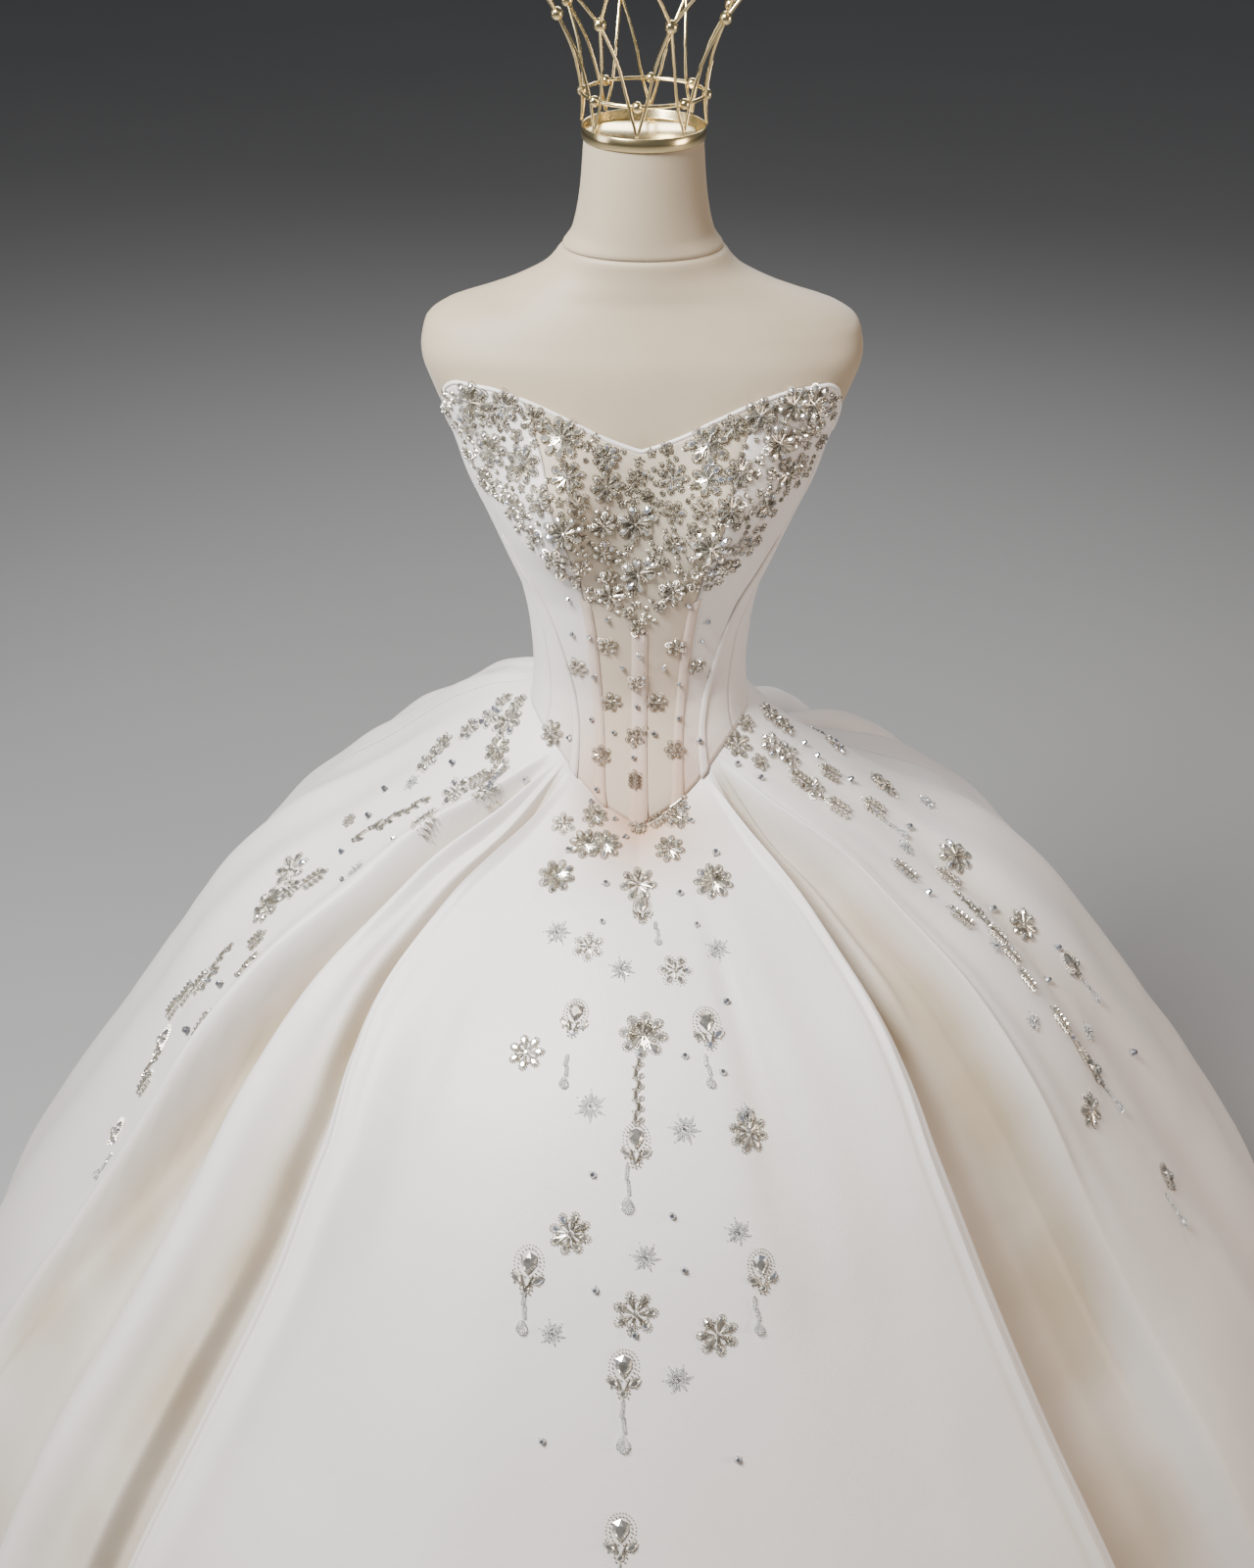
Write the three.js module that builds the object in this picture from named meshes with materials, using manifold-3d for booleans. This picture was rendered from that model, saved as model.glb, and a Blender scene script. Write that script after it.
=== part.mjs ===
// A strapless satin ball gown worn by a limbless dress form with a wire crown.
// Millimetres, +Z up, origin on the floor under the form's pole. The gown faces -Y.
// Left and right are the wearer's: left is +X and right is -X.
import * as THREE from "three";
import { mergeVertices } from "three/addons/utils/BufferGeometryUtils.js";
import Module from "manifold-3d";

const wasm = await Module();
wasm.setup();

// Driving dimensions
const CLOTH = 2.2; // thickness of the satin with its backing
const SEAM_GAP = 0.3; // between neighbouring pieces
const FORM_GAP = 2; // between the form and the bodice that it carries
const WAIST_Z = 1060;
const SIDE_SEAM_Z = 1017; // the waist seam at the side
const BASQUE_Z = 943; // the waist seam's point at centre front
const CORNER_TURN = 27; // degrees round the bodice to the pleats' meeting point
const CHANNEL_WIDTH = 9; // boning channel
const CHANNEL_RISE = 1.6;
const CHANNEL_GAP = 0.9; // over the panels' facets
const CHANNEL_FROM = { centre: 0.5, princess: 0.5, side: 0.4 }; // share of the way down from the neckline
const NECK_SEAM_Z = 1466;
const NECK_TOP_Z = 1555;
const FORM_BOTTOM_Z = 850;
const BAND_RADIUS = 52.5;
const BAND_HEIGHT = 10.5;
const WIRE = 3; // diameter of the crown's wires
const CROWN_POINTS = 8;
const BASE_RADIUS = 200;
const BASE_HEIGHT = 12;
const POLE_RADIUS = 16;

const radians = (deg) => (deg * Math.PI) / 180;
const degrees = (rad) => (rad * 180) / Math.PI;
const mix = (a, b, t) => a + (b - a) * t;
const clamp = (x, low = 0, high = 1) => Math.min(high, Math.max(low, x));
const smooth = (low, high, x) => {
  const t = clamp((x - low) / (high - low));
  return t * t * (3 - 2 * t);
};

// Reads a column of a table as a smooth curve that never overshoots its rows (a monotone cubic).
function curve(rows, by, column) {
  const x = rows.map((row) => row[by]);
  const y = rows.map((row) => row[column]);
  const step = x.slice(1).map((value, i) => (y[i + 1] - y[i]) / (value - x[i]));
  const slope = y.map((_, i) => {
    if (i === 0) return step[0];
    if (i === y.length - 1) return step[i - 1];
    const [before, after] = [step[i - 1], step[i]];
    return before * after <= 0 ? 0 : (2 * before * after) / (before + after);
  });
  return (at) => {
    const value = clamp(at, x[0], x[x.length - 1]);
    let i = 0;
    while (i < x.length - 2 && value > x[i + 1]) i += 1;
    const h = x[i + 1] - x[i];
    const t = (value - x[i]) / h;
    const near = y[i] * (1 + 2 * t) * (1 - t) ** 2 + y[i + 1] * t * t * (3 - 2 * t);
    return near + h * (slope[i] * t * (1 - t) ** 2 - slope[i + 1] * t * t * (1 - t));
  };
}

function table(columns, ...rows) {
  return rows.map((row) => Object.fromEntries(columns.map((name, i) => [name, row[i]])));
}

// The figure: half width, depth to the front and to the back, squareness of the section, and how far
// the bust stands out.
const FIGURE = table(
  ["z", "half", "front", "back", "square", "bust"],
  [850, 150, 96, 116, 2.2, 0],
  [900, 152, 102, 119, 2.2, 0],
  [950, 139, 98, 108, 2.2, 0],
  [1000, 113, 88, 90, 2.2, 0],
  [1030, 103, 82, 80, 2.2, 0],
  [1060, 101.5, 79, 76, 2.2, 0],
  [1098, 103.5, 82, 80, 2.2, 0],
  [1141, 110, 88, 88, 2.2, 0],
  [1183, 125.5, 94, 96, 2.2, 7],
  [1224, 141.5, 99, 102, 2.25, 24],
  [1264, 158.5, 101, 104, 2.3, 28],
  [1302, 170, 98, 104, 2.3, 14],
  [1340, 187, 89, 102, 2.4, 2],
  [1377, 197, 78, 96, 2.6, 0],
  [1398, 193, 68, 86, 2.4, 0],
  [1411, 178, 62, 75, 2.15, 0],
  [1421, 150, 58, 67, 2, 0],
  [1430, 124, 55, 62, 1.95, 0],
  [1439, 103, 54, 59, 1.95, 0],
  [1447, 88, 53, 57, 1.95, 0],
  [1456, 78, 52.5, 56, 2, 0],
  [1466, 71, 52.5, 55, 2.05, 0],
  [1481, 61, 52, 53, 2, 0],
  [1515, 54, 51.5, 52, 2, 0],
  [1555, 50.5, 50.5, 50.5, 2, 0],
);
const figure = Object.fromEntries(
  ["half", "front", "back", "square", "bust"].map((name) => [name, curve(FIGURE, "z", name)]),
);
const BUST_APART = 78; // from the centre line to a cup's fullest point
const BUST_SPREAD = 38;

// A point of the figure's section at height z. turn is 0 at centre front and grows towards the wearer's left.
function sectionPoint(turn, z) {
  const [s, c] = [Math.sin(radians(turn)), Math.cos(radians(turn))];
  const power = 2 / figure.square(z);
  const x = figure.half(z) * Math.sign(s) * Math.abs(s) ** power;
  const depth = c > 0 ? figure.front(z) : figure.back(z);
  const bell = Math.exp(-(((Math.abs(x) - BUST_APART) / BUST_SPREAD) ** 2));
  const cup = c > 0 ? figure.bust(z) * bell * c ** 0.5 : 0;
  return new THREE.Vector2(x, -depth * Math.sign(c) * Math.abs(c) ** power - cup);
}

// The same section moved outwards by a distance, at right angles to itself.
const SLOPE_TURN = 1.5; // degrees to each side for the direction of the section
function sectionOffset(turn, z, out) {
  const [a, b] = [sectionPoint(turn - SLOPE_TURN, z), sectionPoint(turn + SLOPE_TURN, z)];
  const along = b.sub(a).normalize();
  return sectionPoint(turn, z).add(new THREE.Vector2(along.y, -along.x).multiplyScalar(out));
}

// The bodice's edges: the neckline above, the waist seam with its basque point below.
const EDGES = table(
  ["turn", "top", "low"],
  [0, 1315, BASQUE_Z],
  [9, 1328, 956],
  [16, 1340, 967],
  [CORNER_TURN, 1354, 984],
  [38, 1361, 998],
  [50, 1362, 1008],
  [58, 1356, 1012],
  [66, 1338, 1015],
  [76, 1312, 1016],
  [90, 1298, SIDE_SEAM_Z],
  [120, 1287, 1015],
  [180, 1280, 1010],
);
const neckline = curve(EDGES, "turn", "top");
const waistSeam = curve(EDGES, "turn", "low");

// The stiff basque stands away from the figure at the front, most at its point.
const BASQUE_FLARE = 31;
const FLARE_FROM_Z = 1052;
function flare(turn, z) {
  const drop = clamp((FLARE_FROM_Z - z) / (FLARE_FROM_Z - BASQUE_Z));
  return BASQUE_FLARE * drop ** 1.3 * Math.max(0, Math.cos(radians(turn)));
}

function bodicePoint(turn, z, out) {
  const p = sectionOffset(turn, z, FORM_GAP + flare(turn, z) + out);
  return new THREE.Vector3(p.x, p.y, z);
}

// Seam lines of the bodice by height, in degrees from centre front.
const SEAMS = table(
  ["z", "princess", "side", "back"],
  [940, 10.5, 22, 118],
  [1000, 16, 28, 119],
  [1060, 20.8, 37, 120],
  [1110, 22, 45, 120],
  [1160, 23, 54, 120],
  [1200, 24, 62, 120],
  [1240, 25, 68, 120],
  [1365, 27, 71, 120],
);
const seam = {
  centre: () => 0,
  princess: curve(SEAMS, "z", "princess"),
  side: curve(SEAMS, "z", "side"),
  back: curve(SEAMS, "z", "back"),
  closing: () => 180,
};

// A closed wall from two grids of points, outside[row][column] and inside[row][column], seen from
// outside with columns running to the wearer's left and rows running down. Both end faces are split
// along the same diagonal, so two walls that meet at a twisted seam keep their gap.
function wallGeometry(outside, inside) {
  const [rows, columns] = [outside.length, outside[0].length];
  const points = [...outside.flat(), ...inside.flat()];
  const index = [];
  const out = (r, c) => r * columns + c;
  const back = (r, c) => rows * columns + out(r, c);
  const quad = (a, b, c, d) => index.push(a, b, c, a, c, d);
  for (let r = 0; r < rows - 1; r += 1)
    for (let c = 0; c < columns - 1; c += 1) {
      quad(out(r, c), out(r + 1, c), out(r + 1, c + 1), out(r, c + 1));
      quad(back(r, c), back(r, c + 1), back(r + 1, c + 1), back(r + 1, c));
    }
  for (let c = 0; c < columns - 1; c += 1) {
    quad(out(0, c), out(0, c + 1), back(0, c + 1), back(0, c));
    quad(out(rows - 1, c + 1), out(rows - 1, c), back(rows - 1, c), back(rows - 1, c + 1));
  }
  const last = columns - 1;
  for (let r = 0; r < rows - 1; r += 1) {
    quad(out(r + 1, 0), out(r, 0), back(r, 0), back(r + 1, 0));
    quad(out(r + 1, last), back(r + 1, last), back(r, last), out(r, last));
  }
  return meshGeometry(points, index);
}

function meshGeometry(points, index) {
  return new THREE.BufferGeometry().setFromPoints(points).setIndex(index);
}

// A solid through closed rings that turn to the left seen from its end, closed by a point in the
// middle of each end.
function loftGeometry(rings, [startMiddle, endMiddle]) {
  const count = rings[0].length;
  const points = [...rings.flat(), startMiddle, endMiddle];
  const [start, end] = [points.length - 2, points.length - 1];
  const index = [];
  for (let c = 0; c < count; c += 1) {
    const next = (c + 1) % count;
    for (let r = 0; r < rings.length - 1; r += 1) {
      const [a, b] = [r * count + c, r * count + next];
      index.push(a, b, b + count, a, b + count, a + count);
    }
    const top = (rings.length - 1) * count;
    index.push(next, c, start, top + c, top + next, end);
  }
  return meshGeometry(points, index);
}

function steps(count, low = 0, high = 1) {
  return Array.from({ length: count + 1 }, (_, i) => mix(low, high, i / count));
}

function solidOf(geometry) {
  const bare = geometry.clone().deleteAttribute("normal").deleteAttribute("uv");
  const merged = mergeVertices(bare.index ? bare.toNonIndexed() : bare, 1e-4);
  return new wasm.Manifold(
    new wasm.Mesh({
      numProp: 3,
      vertProperties: merged.attributes.position.array,
      triVerts: new Uint32Array(merged.index.array),
    }),
  );
}

function geometryOf(solid) {
  const { vertProperties, triVerts } = solid.getMesh();
  return new THREE.BufferGeometry()
    .setAttribute("position", new THREE.BufferAttribute(vertProperties, 3))
    .setIndex(new THREE.BufferAttribute(triVerts, 1));
}

// A solid without the loose crumbs that a cut may leave.
function largest(solid) {
  return solid.decompose().reduce((best, one) => (one.volume() > best.volume() ? one : best));
}

function joined(geometries) {
  return geometries.map(solidOf).reduce((all, one) => all.add(one));
}

// Beaded flowers

const FLOWER_RISE = 3.2; // above the cloth
const FLOWER_SINK = 1.7; // the root of a flower's solid, inside the cloth
const FLOWER_SIDES = 5;
const FLOWER_CROWN = 0.66; // the width of its top over that of its root

// The rounded solid of a flower on a surface. surface(u, v, out) gives a point, and a step in u runs
// across and in v down.
function flowerGeometry(surface, { u, v, across }) {
  const middle = surface(u, v, 0);
  const step = 1e-3;
  const perU = surface(u + step, v, 0).distanceTo(middle) / step;
  const perV = surface(u, v + step, 0).distanceTo(middle) / step;
  const ring = (radius, out) =>
    steps(FLOWER_SIDES, 0, 2 * Math.PI)
      .slice(1)
      .map((a) => surface(u - (radius * Math.sin(a)) / perU, v - (radius * Math.cos(a)) / perV, out));
  const root = ring(across / 2, -FLOWER_SINK);
  const top = ring((across / 2) * FLOWER_CROWN, FLOWER_RISE);
  return loftGeometry([root, top], [surface(u, v, -FLOWER_SINK), surface(u, v, FLOWER_RISE)]);
}

// Bodice

const BODICE_ROWS = steps(11);

// The height of the bodice's row at share down from the neckline, at a turn from centre front.
function rowHeight(turn, down) {
  return mix(neckline(Math.abs(turn)), waistSeam(Math.abs(turn)), down);
}

// The turn of a bodice point at share across between two seams, on the row at share down.
function seamTurn(from, to, across, down) {
  let turn = 0;
  for (let pass = 0; pass < 6; pass += 1) {
    const z = rowHeight(turn, down);
    turn = mix(from(z), to(z), across);
  }
  return turn;
}

function bodiceWall(side, from, to, columns, [inner, outer] = [0, CLOTH]) {
  const half = SEAM_GAP / 2;
  const grid = (out) =>
    BODICE_ROWS.map((down) => {
      const row = steps(columns).map((across) => {
        const turn = side * seamTurn(from, to, across, down);
        const z = rowHeight(turn, down);
        const inset = degrees(half / sectionPoint(turn, z).length()) * (1 - 2 * across) * side;
        return bodicePoint(turn + inset, z, out);
      });
      return side > 0 ? row : row.reverse();
    });
  return wallGeometry(grid(outer), grid(inner));
}

// The flowers on the bodice's front. turn is from centre front to the wearer's left, down from the
// neckline to the waist seam, and across in millimetres.
const BODICE_FLOWERS = table(
  ["u", "v", "across"],
  [-1, 0.18, 40],
  [-0.5, 0.32, 38],
  [-23.5, 0.275, 38],
  [23, 0.315, 40],
  [15.5, 0.075, 34],
  [-18.5, 0.07, 32],
  [28.5, 0.06, 30],
  [-47, 0.06, 28],
  [47.5, 0.06, 28],
  [-34, 0.06, 28],
  [7.5, 0.095, 30],
  [39, 0.08, 26],
  [26.5, 0.145, 26],
  [-8.5, 0.12, 28],
  [-22, 0.14, 26],
  [-35, 0.155, 28],
  [-29, 0.215, 26],
  [-11, 0.21, 28],
  [10, 0.26, 28],
  [38, 0.2, 28],
  [35, 0.355, 26],
  [-12, 0.31, 26],
  [-35.5, 0.33, 24],
  [-30, 0.39, 26],
  [22, 0.4, 26],
  [-11, 0.43, 26],
  [12, 0.415, 26],
  [-0.5, 0.475, 24],
  [-13, 0.595, 22],
  [14, 0.605, 22],
  [-10.5, 0.755, 20],
  [10, 0.735, 20],
);
const HEADROOM = 8; // over the cloth, more than a flower's rise

// A panel with the flowers that lie on it. A flower over a seam is divided between its panels.
function beadedBodiceWall(side, from, to, columns) {
  const surface = (turn, down, out) => bodicePoint(turn, rowHeight(turn, down), CLOTH + out);
  const room = solidOf(bodiceWall(side, from, to, columns, [CLOTH - FLOWER_SINK, CLOTH + HEADROOM]));
  const flowers = joined(BODICE_FLOWERS.map((flower) => flowerGeometry(surface, flower)));
  return geometryOf(largest(solidOf(bodiceWall(side, from, to, columns)).add(flowers.intersect(room))));
}

// A boning channel over a seam, made from the points of the panels beside it, moved out.
function channelWall(side, line, fromDown) {
  const grid = (out) =>
    BODICE_ROWS.filter((down) => down >= fromDown).map((down) => {
      const middle = side * seamTurn(line, line, 0, down);
      const half = degrees(CHANNEL_WIDTH / 2 / sectionPoint(middle, rowHeight(middle, down)).length());
      return [-half, 0, half].map((shift) => {
        const turn = middle + shift;
        return bodicePoint(turn, rowHeight(turn, down), CLOTH + out);
      });
    });
  return wallGeometry(grid(CHANNEL_GAP + CHANNEL_RISE), grid(CHANNEL_GAP));
}

// Skirt

// The skirt's profile from the waist seam to the hem, without its pleats.
const PROFILE = table(
  ["down", "r", "z"],
  [0, 115, 1017],
  [0.03, 140, 995],
  [0.07, 184, 957],
  [0.12, 240, 916],
  [0.18, 306, 870],
  [0.25, 388, 817],
  [0.34, 467, 738],
  [0.45, 537, 640],
  [0.58, 625, 516],
  [0.72, 740, 367],
  [0.86, 836, 190],
  [1, 898, 0],
);
const profile = { r: curve(PROFILE, "down", "r"), z: curve(PROFILE, "down", "z") };
const SKIRT_ROWS = [0, 0.025, 0.06, 0.1, 0.15, 0.21, 0.29, 0.39, 0.51, 0.66, 0.83, 1];

// The pleats round one half of the skirt, from centre front to centre back. waist is where a line
// starts on the waist seam and hem where it lands, in degrees. along shifts it sideways and height
// lifts it off the profile, in millimetres at full depth. The rows that turn back lie under the front
// panel's folded edge, and "join" marks the seam hidden there.
const PLEAT_COLUMNS = ["knot", "waist", "hem", "along", "height"];
const FRONT_HALF = [
  [0, 0, 0, 0, 3],
  [1, 6, 10, 0, 3],
  [2, 12, 20, 0, 1],
  [3, 18, 29, 0, 2],
  [4, 23, 35.5, 0, 8],
  [5, 25.4, 39, -4, 10],
  [6, 26, 39, 5, 6],
  [7, 26.6, 39, 6, -3],
  [8, 27.2, 39, 0, -12],
  [9, 27.8, 39, -14, -17],
];
const FOLD_JOIN = 10;
const SIDE_JOIN = 25;
const BACK_KNOTS = [
  [25, 106, 116, 0, 2],
  [26, 112, 124, 0, 12],
  [27, 119, 131, 0, -14],
  [28, 126, 138, 0, 13],
  [29, 134, 146, 0, -17],
  [30, 143, 154, 0, 14],
  [31, 152, 162, 0, -16],
  [32, 163, 171, 0, 12],
  [33, 180, 180, 0, -4],
];
const CENTRE_BACK = 33;
const PLEATS = {
  left: table(
    PLEAT_COLUMNS,
    ...FRONT_HALF,
    [10, 28.4, 39, -28, -20],
    [11, 29, 39, -26, -31],
    [12, 29.6, 40, -6, -37],
    [13, 30.4, 42.5, 0, -38],
    [14, 31.4, 46, 0, -36],
    [15, 32.6, 49.5, 0, -18],
    [16, 34.2, 52.3, 0, 11],
    [17, 37, 56, 0, 10],
    [18, 42, 62, 0, 4],
    [19, 50, 68.5, 0, -4],
    [20, 58, 74.5, 0, -14],
    [21, 68, 83, 0, 7],
    [22, 79, 92, 0, -7],
    [23, 90, 101, 0, 8],
    [24, 99, 109, 0, -8],
    ...BACK_KNOTS,
  ),
  right: table(
    PLEAT_COLUMNS,
    ...FRONT_HALF,
    [10, 28.4, 39, -28, -20],
    [11, 29, 39, -26, -31],
    [12, 29.6, 40, -6, -37],
    [13, 30.4, 43, 0, -36],
    [14, 31.2, 44.4, 0, -12],
    [15, 32.4, 48.5, 0, -15],
    [16, 34.2, 52.6, 0, 3],
    [17, 36.4, 58.5, 0, -26],
    [18, 39, 63.5, 0, 12],
    [19, 44, 68, 0, 7],
    [20, 54, 76, 0, -3],
    [21, 66, 85, 0, 4],
    [22, 78, 93, 0, -8],
    [23, 89, 101, 0, 7],
    [24, 99, 109, 0, -7],
    ...BACK_KNOTS,
  ),
};
const pleat = Object.fromEntries(
  Object.entries(PLEATS).map(([name, rows]) => [
    name,
    Object.fromEntries(
      ["waist", "hem", "along", "height"].map((column) => [column, curve(rows, "knot", column)]),
    ),
  ]),
);

// How the folded edge of the front panel sways on its way down.
const SWAY = table(
  ["down", "left", "right"],
  [0, 0, 0],
  [0.1, 1.5, 2],
  [0.19, 1.6, 4],
  [0.27, 0, 0.5],
  [0.34, -1, -1.8],
  [0.42, -1.5, -1.8],
  [0.6, -0.8, 0],
  [1, 1.5, 2.5],
);
const sway = { left: curve(SWAY, "down", "left"), right: curve(SWAY, "down", "right") };

// Broad swells and hollows of the skirt: below the waist the back stands up on the wearer's right and
// sinks on the left, and the right side falls in a little lower down. They fade towards the centre back,
// where the two halves meet. turn and round are in degrees, lift in millimetres.
const SWELLS = table(
  ["name", "turn", "round", "down", "along", "lift"],
  ["left", 132, 38, 0.12, 0.09, -28],
  ["right", 132, 38, 0.07, 0.06, 20],
  ["right", 90, 32, 0.4, 0.08, -8],
);
const SWELL_FADE = [158, 178];
function swell(half, at, share) {
  const fade = smooth(0, 0.05, share) * (1 - smooth(...SWELL_FADE, at));
  return SWELLS.filter(({ name }) => name === half).reduce((sum, { turn, round, down, along, lift }) => {
    const far = ((at - turn) / round) ** 2 + ((share - down) / along) ** 2;
    return sum + lift * Math.exp(-far) * fade;
  }, 0);
}

// The cloth rolled under the folded edge keeps a little of its width, so its layers stay apart.
const EDGE_KNOT = 5;
const LAYERS = 7; // knots from the edge over which they add up
const LAYER_STEP = 1.5;
const LAYERS_FADE = [13, 19]; // knots

// How the skirt leaves the waist seam, as shares of the way down.
const FAN = [-0.03, 0.14]; // the pleats turn from the waist's places to the hem's
const FOLD = [0, 0.28]; // the pleats reach their full depth
const LEAN = [0.06, 0.36]; // the rolled cloth reaches its full shift
const SETTLED = 0.22; // the profile no longer follows the waist seam
const DEEPEN = 0.35; // of a pleat's depth, added towards the hem
const WAIST_DROP = 1; // the skirt starts under the bodice's edge
const EDGE_HEM = 39; // degrees at the hem where the folded edges land
const SWAY_ROUND = 11;
const SLOPE_STEP = 0.01;

// A point of the skirt's outside. knot runs round one half of the skirt as in PLEATS, down from waist
// seam to hem.
function skirtPoint(name, knot, down) {
  const side = name === "left" ? 1 : -1;
  const lines = pleat[name];
  const waistTurn = lines.waist(knot);
  const seamZ = waistSeam(waistTurn);
  const start = sectionOffset(waistTurn, seamZ, FORM_GAP + flare(waistTurn, seamZ));
  const nearEdge = Math.exp(-(((lines.hem(knot) - EDGE_HEM) / SWAY_ROUND) ** 2));
  const hemTurn = lines.hem(knot) + sway[name](down) * nearEdge;
  const fan = 1 - smooth(...FAN, down);
  const startTurn = degrees(Math.atan2(start.x, -start.y));
  const settle = (1 - clamp(down / SETTLED)) ** 2;
  const baseR = profile.r(down) + (start.length() - profile.r(0)) * settle;
  const baseZ = profile.z(down) + (seamZ - WAIST_DROP - profile.z(0)) * settle;
  const [above, below] = [down - SLOPE_STEP, down + SLOPE_STEP];
  const slope = Math.atan2(profile.z(above) - profile.z(below), profile.r(below) - profile.r(above));
  const depth = smooth(...FOLD, down) * (1 + DEEPEN * down);
  const lift = lines.height(knot) * depth + swell(name, hemTurn, down);
  const r = baseR + lift * Math.sin(slope);
  const z = Math.max(0, down === 1 ? 0 : baseZ + lift * Math.cos(slope));
  const layers = LAYER_STEP * clamp(knot - EDGE_KNOT, 0, LAYERS) * (1 - smooth(...LAYERS_FADE, knot));
  const across = lines.along(knot) * smooth(...LEAN, down) ** 2 + layers * smooth(0, FAN[1], down);
  const turn = radians(mix(hemTurn, startTurn, fan)) + across / baseR;
  return new THREE.Vector3(side * r * Math.sin(turn), -r * Math.cos(turn), z);
}

// The outward normal of the skirt's outside, from its neighbours. At the hem it is level, so the wall
// meets the floor flat.
function skirtNormal(name, knot, down) {
  const side = name === "left" ? 1 : -1;
  const across = skirtPoint(name, knot + 0.2, down).sub(skirtPoint(name, knot - 0.2, down));
  const [above, below] = [Math.max(0, down - 0.005), Math.min(0.995, down + 0.005)];
  const along = skirtPoint(name, knot, below).sub(skirtPoint(name, knot, above));
  const normal = along.cross(across).multiplyScalar(side).normalize();
  return down === 1 ? normal.setZ(0).normalize() : normal;
}

// One panel of the skirt between two positions round it. A position is {name, knot}, and the panel may
// cross centre front.
function skirtWall(places) {
  const half = SEAM_GAP / 2;
  const last = places.length - 1;
  const grid = (inward) =>
    SKIRT_ROWS.map((down) => {
      const row = places.map(({ name, knot }) => {
        const p = skirtPoint(name, knot, down);
        return down === 0 && inward
          ? p.setZ(p.z - CLOTH)
          : p.addScaledVector(skirtNormal(name, knot, down), -inward);
      });
      const nudge = (at, next) => row[at].addScaledVector(row[next].clone().sub(row[at]).normalize(), half);
      nudge(0, 1);
      nudge(last, last - 1);
      return row;
    });
  return wallGeometry(grid(0), grid(CLOTH));
}

function knots(name, low, high, perKnot) {
  return steps(Math.round((high - low) * perKnot), low, high).map((knot) => ({ name, knot }));
}

const frontPanel = [
  ...knots("right", 4, FOLD_JOIN, 1.5).reverse(),
  ...knots("right", 0, 3, 1).reverse(),
  ...knots("left", 1, 3, 1),
  ...knots("left", 4, FOLD_JOIN, 1.5),
];

// The flowers on the skirt. u is a knot as in PLEATS, negative on the wearer's right, v runs down from
// the waist seam to the hem, and across is in millimetres.
const SKIRT_FLOWERS = {
  front: table(
    ["u", "v", "across"],
    [-3, 0.05, 26],
    [-1.6, 0.052, 36],
    [1.2, 0.052, 28],
    [-2.3, 0.084, 30],
    [0, 0.078, 30],
    [2.1, 0.088, 32],
    [-1, 0.14, 26],
    [0.6, 0.156, 28],
    [-1, 0.196, 24],
    [-1.6, 0.224, 30],
    [0.1, 0.204, 36],
    [1.1, 0.204, 28],
    [1.4, 0.276, 32],
    [0, 0.274, 26],
    [-0.7, 0.344, 34],
    [-1.1, 0.376, 30],
    [1.3, 0.376, 30],
    [0, 0.4, 34],
    [0.8, 0.42, 30],
    [0, 0.444, 30],
    [-0.1, 0.564, 30],
  ),
  right: table(
    ["u", "v", "across"],
    [-21.9, 0.044, 28],
    [-21.7, 0.066, 28],
    [-20.2, 0.046, 26],
    [-21.4, 0.098, 30],
    [-19.5, 0.082, 28],
    [-18.7, 0.112, 26],
    [-20.4, 0.226, 24],
    [-19.9, 0.25, 28],
    [-18.8, 0.36, 26],
    [-19.7, 0.42, 24],
    [-19.3, 0.448, 22],
    [-19, 0.496, 20],
  ),
  left: table(
    ["u", "v", "across"],
    [21.8, 0.04, 28],
    [23, 0.1, 28],
    [20.1, 0.056, 30],
    [19.2, 0.076, 28],
    [20.6, 0.09, 24],
    [18.9, 0.104, 24],
    [20.4, 0.126, 22],
    [21.7, 0.138, 24],
    [20.7, 0.204, 26],
    [18.9, 0.16, 26],
    [18.2, 0.216, 24],
    [20.3, 0.28, 26],
    [20.6, 0.352, 26],
    [18.6, 0.34, 24],
    [18.6, 0.392, 24],
    [17.8, 0.412, 24],
    [18.6, 0.524, 22],
  ),
};

// The place of a value in a rising list: the item before it and the share of the way to the next.
function cell(list, value) {
  let i = 0;
  while (i < list.length - 2 && value > list[i + 1]) i += 1;
  return [i, (value - list[i]) / (list[i + 1] - list[i])];
}

// A point on the facets of a skirt panel, moved out.
function panelSurface(places) {
  const positions = places.map(({ name, knot }) => (name === "left" ? knot : -knot));
  const grid = SKIRT_ROWS.map((down) => places.map(({ name, knot }) => skirtPoint(name, knot, down)));
  return (position, down, out) => {
    const [c, across] = cell(positions, position);
    const [r, along] = cell(SKIRT_ROWS, down);
    const [start, left, below, corner] = [grid[r][c], grid[r][c + 1], grid[r + 1][c], grid[r + 1][c + 1]];
    const [intoLeft, intoBelow] = [left.clone().sub(start), below.clone().sub(start)];
    const p = start.clone();
    if (along > across) {
      p.addScaledVector(intoBelow, along).addScaledVector(corner.clone().sub(below), across);
    } else {
      p.addScaledVector(intoLeft, across).addScaledVector(corner.clone().sub(left), along);
    }
    return p.addScaledVector(intoBelow.cross(intoLeft).normalize(), out);
  };
}

function beadedSkirtWall(places, flowers) {
  const surface = panelSurface(places);
  const raised = flowers.map((flower) => flowerGeometry(surface, flower));
  return geometryOf(solidOf(skirtWall(places)).add(joined(raised)));
}

// Dress form

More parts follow.
